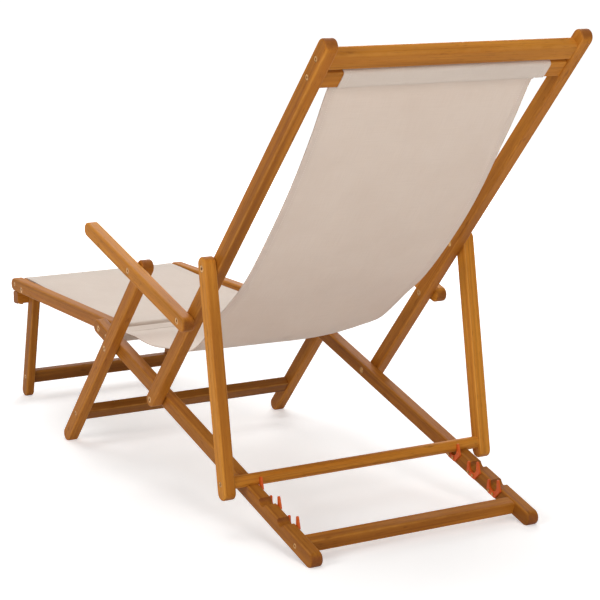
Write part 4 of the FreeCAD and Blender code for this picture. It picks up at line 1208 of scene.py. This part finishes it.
@dataclass
class SeatSling:
    """The seat and back cloth, hung between the upper sling bar and the seat's front bar."""

    bar_gap: float = 0.0009
    tail: float = 0.02
    fold: float = 0.0016
    fold_step: float = 0.0002
    upper_hem: Point2 = (0.0021, 0.0052)
    seat_hem: Point2 = (0.0022, -0.0002)
    back_drape: Tuple[Point2, ...] = (
        (0.944, 0.09), (0.868, 0.385), (0.792, 0.61), (0.705, 0.811),
        (0.564, 1.0), (0.4775, 0.978), (0.38, 0.77), (0.2985, 0.48),
    )
    seat_drape: Tuple[Point2, ...] = (
        (0.1264, 1.0), (-0.1868, 0.631), (-0.4205, 0.3673), (-0.623, 0.2224), (-0.86, 0.0692),
    )
    back_sag: float = 0.0423
    back_lead: float = 0.0004
    seat_rise: float = 0.107
    upper_bar: Point2 = (0.018, 0.011)
    seat_bar: Point2 = (0.008, 0.0125)
    bar_edge: float = 0.004
    drape_points: int = 900
    blend_start: Point2 = (-0.02, 0.08)
    blend_end: Point2 = (0.47, -0.03)
    seam_inset: float = 0.011
    upper_seam_depth: float = 0.0032
    upper_seam_out: float = 0.0013
    seat_seam_out: float = 0.0009
    ripple: Ripple = Ripple(0.7)
    hang: Hang = Hang(0.0045, 0.86, 0.42, 0.002, 0.0155, 0.93, 0.24)

    def _back(self, run: float, rise: float) -> Point2:
        """A point in the back rails' own directions."""
        return LAYOUT.along(LAYOUT.back_pivot, LAYOUT.back_angle, run, rise)

    def _seat(self, run: float, rise: float) -> Point2:
        """A point in the base rails' own directions."""
        return LAYOUT.along(LAYOUT.back_pivot, LAYOUT.base_angle, run, rise)

    @property
    def seat_bar_run(self) -> float:
        """Distance from the back pivot forward to the seat's front bar."""
        return LAYOUT.front_to_leg + LAYOUT.leg_to_back - LAYOUT.seat_bar_to_front

    def drape(self) -> List[Point2]:
        """The cloth's line from the upper bar's front face to the seat bar's top face.

        Returns:
            Points along the line.
        """
        front = self.upper_bar[1] + self.bar_gap
        top = LAYOUT.back_to_sling_bar
        points = [self._back(top, front), self._back(top - self.upper_bar[0] / 2.0, front)]
        for share, sag in self.back_drape:
            points.append(self._back(share * top, front + self.back_lead - sag * self.back_sag))
        level = self.seat_bar[1] + self.bar_gap
        bar = self.seat_bar_run
        for share, rise in self.seat_drape:
            points.append(self._seat(share * bar, level + rise * self.seat_rise))
        points += [self._seat(self.seat_bar[0] - bar, level), self._seat(-bar, level)]
        return smooth_curve(points, self.drape_points)

    def path(self) -> np.ndarray:
        """The whole cut, from hem to hem, around both bars."""
        return even_spacing(self._upper_pocket() + self.drape() + self._seat_pocket())

    def _upper_pocket(self) -> List[Point2]:
        """Path from the hem behind the cloth, around the upper bar, to its front face.

        Returns:
            Points along the path.
        """
        top = LAYOUT.back_to_sling_bar
        high = top + self.upper_bar[0] + self.bar_gap
        low = top - self.upper_bar[0] - self.bar_gap
        deep = self.upper_bar[1] + self.bar_gap
        turn = self.bar_edge + self.bar_gap
        corners = [
            (*self._back(low - self.tail, deep - self.upper_hem[1]), 0.0),
            (*self._back(low - self.fold_step, deep - self.upper_hem[0]), self.fold),
            (*self._back(low, -deep), turn),
            (*self._back(high, -deep), turn),
            (*self._back(high, deep), turn),
            (*self._back(top, deep), 0.0),
        ]
        return rounded_corners(corners)[:-1]

    def _seat_pocket(self) -> List[Point2]:
        """Path from the seat bar's top face, around the bar, to the hem under the cloth.

        Returns:
            Points along the path.
        """
        bar = -self.seat_bar_run
        front = bar - self.seat_bar[0] - self.bar_gap
        rear = bar + self.seat_bar[0] + self.bar_gap
        deep = self.seat_bar[1] + self.bar_gap
        turn = self.bar_edge + self.bar_gap
        corners = [
            (*self._seat(bar, deep), 0.0),
            (*self._seat(front, deep), turn),
            (*self._seat(front, -deep), turn),
            (*self._seat(rear, -deep), turn),
            (*self._seat(rear, deep - self.seat_hem[0]), self.fold),
            (*self._seat(rear + self.tail, deep - self.seat_hem[1]), 0.0),
        ]
        return rounded_corners(corners)[1:]

    def _seams(self) -> List[Tuple[SeamRow, str]]:
        """The row at each pocket, with the body that it rides on.

        Returns:
            The rows and their bodies.
        """
        width = LAYOUT.sling_half_width
        turn = math.radians(LAYOUT.back_angle)
        out = (math.sin(turn) * self.upper_seam_out, -math.cos(turn) * self.upper_seam_out)
        run = LAYOUT.back_to_sling_bar - self.upper_bar[0] - self.seam_inset
        spot = self._back(run, self.upper_bar[1] - self.upper_seam_depth)
        upper = SeamRow("sling_upper_seam", spot, out, width)
        turn = math.radians(LAYOUT.base_angle)
        out = (-math.sin(turn) * self.seat_seam_out, math.cos(turn) * self.seat_seam_out)
        line = self.drape()[::-1]
        lengths = run_lengths(np.array(line))[1:]
        spot = line[int(np.searchsorted(lengths, self.seat_bar[0] + self.seam_inset))]
        seat = SeamRow("sling_seat_seam", spot, out, width)
        return [(upper, "back_frame"), (seat, "base_frame")]

    def build(self, effects: Effects, finishes: Finishes) -> None:
        """Model, dress and place the sling and its seams.

        Args:
            effects: shared shader effects.
            finishes: all the finishes.
        """
        width = LAYOUT.sling_half_width
        sheet = ClothSheet("sling_cloth", self.path(), width, self.ripple, self.hang)
        piece = sheet.build()
        paint(piece, finishes.canvas.material("sling", effects, width))
        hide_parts("seat_sling")
        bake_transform(piece)
        seams = [row.sew(body, finishes) for row, body in self._seams()]
        flat = (2.0 * width, sheet.length())
        LOG.info("sling %.3f by %.3f m", *flat)


@dataclass(frozen=True)
class Bar:
    """A footrest bar in the side view: its place, half length, half height and raise."""

    place: float
    half: float
    tall: float
    rise: float


@dataclass
class FootCloth:
    """The footrest cloth, stretched between its two bars."""

    bar_gap: float = 0.0009
    tail: float = 0.02
    fold: float = 0.0016
    hem: Point2 = (0.0024, 0.0038)
    front_bar: Bar = Bar(0.535, 0.012, 0.010, 0.002)
    heel_bar: Bar = Bar(0.017, 0.010, 0.007, -0.006)
    heel_flat: float = 0.006
    front_flat: float = 0.008
    bar_edge: float = 0.004
    sag: float = 0.003
    drape: Tuple[Point2, ...] = ((0.22, 0.62), (0.5, 1.0), (0.78, 0.5))
    drape_points: int = 400
    heel_seam: float = 0.021
    front_seam: float = 0.023
    seam_sink: float = 0.0002
    seam_out: Point2 = (0.0, 0.0006)
    ripple: Ripple = Ripple(2.1, 0.0009)

    def _spot(self, run: float, height: float) -> Point2:
        """A point forward of the footrest's pivot, at a height above its rails' middle."""
        return LAYOUT.along(LAYOUT.front_pivot, LAYOUT.footrest_angle, run, -height)

    def _top(self, bar: Bar) -> float:
        """Height of the cloth on a bar's top face, above the rails' middle."""
        return bar.rise + bar.tall + self.bar_gap

    def _wrap(self, bar: Bar, ahead: float) -> List[Point2]:
        """Path from a bar's top face around it to the hem under the cloth.

        Args:
            bar: the bar.
            ahead: 1 where the cloth goes round the bar's front, -1 where round its rear.

        Returns:
            Points along the path.
        """
        far = bar.place + ahead * (bar.half + self.bar_gap)
        near = bar.place - ahead * (bar.half + self.bar_gap)
        top = self._top(bar)
        low = bar.rise - bar.tall - self.bar_gap
        turn = self.bar_edge + self.bar_gap
        corners = [
            (*self._spot(bar.place, top), 0.0),
            (*self._spot(far, top), turn),
            (*self._spot(far, low), turn),
            (*self._spot(near, low), turn),
            (*self._spot(near, top - self.hem[0]), self.fold),
            (*self._spot(near - ahead * self.tail, top - self.hem[1]), 0.0),
        ]
        return rounded_corners(corners)[1:]

    def path(self) -> np.ndarray:
        """The whole cut, from the hem at the heel bar to the hem at the front bar.

        Returns:
            Evenly spaced points along the cut.
        """
        low, high = self._top(self.heel_bar), self._top(self.front_bar)
        heel, front = self.heel_bar.place, self.front_bar.place
        points = [self._spot(heel, low), self._spot(heel + self.heel_flat, low)]
        for share, dip in self.drape:
            height = low + share * (high - low) - dip * self.sag
            points.append(self._spot(heel + share * (front - heel), height))
        points += [self._spot(front - self.front_flat, high), self._spot(front, high)]
        line = smooth_curve(points, self.drape_points)
        start = self._wrap(self.heel_bar, -1.0)[::-1]
        return even_spacing(start + line + self._wrap(self.front_bar, 1.0))

    def build(self, effects: Effects, finishes: Finishes) -> None:
        """Model, dress and place the footrest cloth and its seams.

        Args:
            effects: shared shader effects.
            finishes: all the finishes.
        """
        width = LAYOUT.foot_cloth_half_width
        sheet = ClothSheet("footrest_canvas", self.path(), width, self.ripple)
        piece = sheet.build()
        paint(piece, finishes.canvas.material("footrest", effects, width))
        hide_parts("footrest_cloth")
        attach(piece, "footrest")
        for name, bar, step in (
            ("footrest_heel_seam", self.heel_bar, self.heel_seam),
            ("footrest_front_seam", self.front_bar, -self.front_seam),
        ):
            spot = self._spot(bar.place + step, self._top(bar) - self.seam_sink)
            SeamRow(name, spot, self.seam_out, width).sew("footrest", finishes)
        flat = (2.0 * width, sheet.length())
        LOG.info("footrest cloth %.3f by %.3f m", *flat)


# Studio

@dataclass(frozen=True)
class Lamp:
    """A soft square lamp: where it stands and points, its edge and its power in watts."""

    name: str
    place: Point3
    aim: Point3
    size: float
    power: float

    def build(self) -> None:
        """Add the lamp to the scene."""
        data = bpy.data.lights.new(self.name, "AREA")
        data.shape = "SQUARE"
        data.size = self.size
        data.energy = self.power
        lamp = bpy.data.objects.new(self.name, data)
        lamp.location = self.place
        way = Vector(self.aim) - Vector(self.place)
        lamp.rotation_euler = way.to_track_quat("-Z", "Y").to_euler()
        bpy.context.scene.collection.objects.link(lamp)


@dataclass
class Studio:
    """Floor, light and camera."""

    camera_place: Point3 = (1.8616, 3.4124, 1.10509)
    camera_aim: Point3 = (-0.006, 0.2099, 0.37719)
    camera_roll: float = -0.17
    camera_lens: float = 113.58
    camera_sensor: float = 36.0
    floor_radius: float = 60.0
    floor_tone: Colour = (0.9, 0.9, 0.9)
    floor_rough: float = 0.9
    floor_specular: float = 0.1
    floor_glow: Tuple[float, float, float, float] = (0.6, 4.5, 0.41, 0.96)
    surround: float = 0.13
    lamps: Tuple[Lamp, ...] = (
        Lamp("overhead_soft", (0.2, -0.4, 4.2), (0.0, 0.0, 0.3), 2.4, 70.0),
        Lamp("front_soft", (-2.3, -3.1, 2.8), (0.0, 0.0, 0.4), 2.2, 80.0),
        Lamp("rear_soft", (0.2, 3.7, 1.35), (0.0, 0.4, 0.5), 1.9, 42.0),
        Lamp("left_soft", (4.0, 1.4, 2.0), (0.0, 0.1, 0.5), 1.8, 74.0),
    )

    def build(self) -> None:
        """Set up everything around the lounger."""
        self._floor()
        for lamp in self.lamps:
            lamp.build()
        self._world()
        self._camera()
        bpy.context.scene.view_settings.view_transform = "Standard"

    @staticmethod
    def _seen(wiring: Wiring, *kinds: str) -> Socket:
        """Tell rays of the named kinds, as 1, from all others, as 0.

        Args:
            wiring: wiring of the floor's material or the world.
            kinds: names of the kinds of ray.

        Returns:
            The value for each ray.
        """
        rays = wiring.node("ShaderNodeLightPath").outputs
        seen = rays[kinds[0]]
        for kind in kinds[1:]:
            seen = wiring.math("MAXIMUM", seen, rays[kind])
        return seen

    def _floor(self) -> None:
        """Lay a wide pale floor that shows a soft shadow and whitens with distance."""
        bpy.ops.object.select_all(action="DESELECT")
        bpy.ops.mesh.primitive_circle_add(vertices=96, radius=self.floor_radius, fill_type="NGON")
        floor = bpy.context.object
        floor.name = "studio_floor"
        material, wiring, shader = blank_material("pale_floor")
        leave = shader.outputs[0].links[0].to_node
        wiring.fill(shader, Base_Color=self.floor_tone, Roughness=self.floor_rough)
        wiring.fill(shader, Specular_IOR_Level=self.floor_specular)
        place = wiring.node("ShaderNodeTexCoord").outputs["Object"]
        away = wiring.vector("LENGTH", place).outputs["Value"]
        seen = self._seen(wiring, "Is Camera Ray", "Is Glossy Ray")
        glow = wiring.node("ShaderNodeEmission")
        wiring.fill(glow, Strength=wiring.scaled(seen, wiring.ramp(away, *self.floor_glow)))
        both = wiring.node("ShaderNodeAddShader")
        for socket, part in zip(both.inputs, (shader, glow)):
            wiring.feed(socket, part.outputs[0])
        wiring.feed(leave.inputs["Surface"], both.outputs[0])
        floor.data.materials.append(material)

    def _world(self) -> None:
        """A soft white surround that shows as plain white."""
        world = bpy.data.worlds.new("studio_surround")
        bpy.context.scene.world = world
        world.use_nodes = True
        world.node_tree.nodes.clear()
        wiring = Wiring(world.node_tree)
        seen = self._seen(wiring, "Is Camera Ray", "Is Glossy Ray", "Is Transmission Ray")
        strength = wiring.ramp(seen, 0.0, 1.0, self.surround, 1.0)
        sky = wiring.node("ShaderNodeBackground")
        wiring.fill(sky, Color=(1.0, 1.0, 1.0), Strength=strength)
        leave = wiring.node("ShaderNodeOutputWorld")
        wiring.feed(leave.inputs[0], sky.outputs[0])

    def _camera(self) -> None:
        """Stand the camera where the photograph was taken."""
        data = bpy.data.cameras.new("photo_camera")
        data.sensor_width = self.camera_sensor
        data.lens = self.camera_lens
        camera = bpy.data.objects.new("photo_camera", data)
        aim = (Vector(self.camera_aim) - Vector(self.camera_place)).to_track_quat("-Z", "Y")
        roll = Euler((0.0, 0.0, math.radians(self.camera_roll))).to_quaternion()
        camera.location = self.camera_place
        camera.rotation_euler = (aim @ roll).to_euler()
        bpy.context.scene.collection.objects.link(camera)
        bpy.context.scene.camera = camera


def main() -> None:
    """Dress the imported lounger, hang its cloth and set up the studio."""
    logging.basicConfig(level=logging.INFO, format="%(message)s")
    effects = Effects()
    finishes = Finishes(effects)
    seed = 1.0
    for part in wooden_frames():
        seed = part.dress(effects, finishes, seed)
    SeatSling().build(effects, finishes)
    FootCloth().build(effects, finishes)
    Studio().build()


if __name__ == "__main__":
    main()
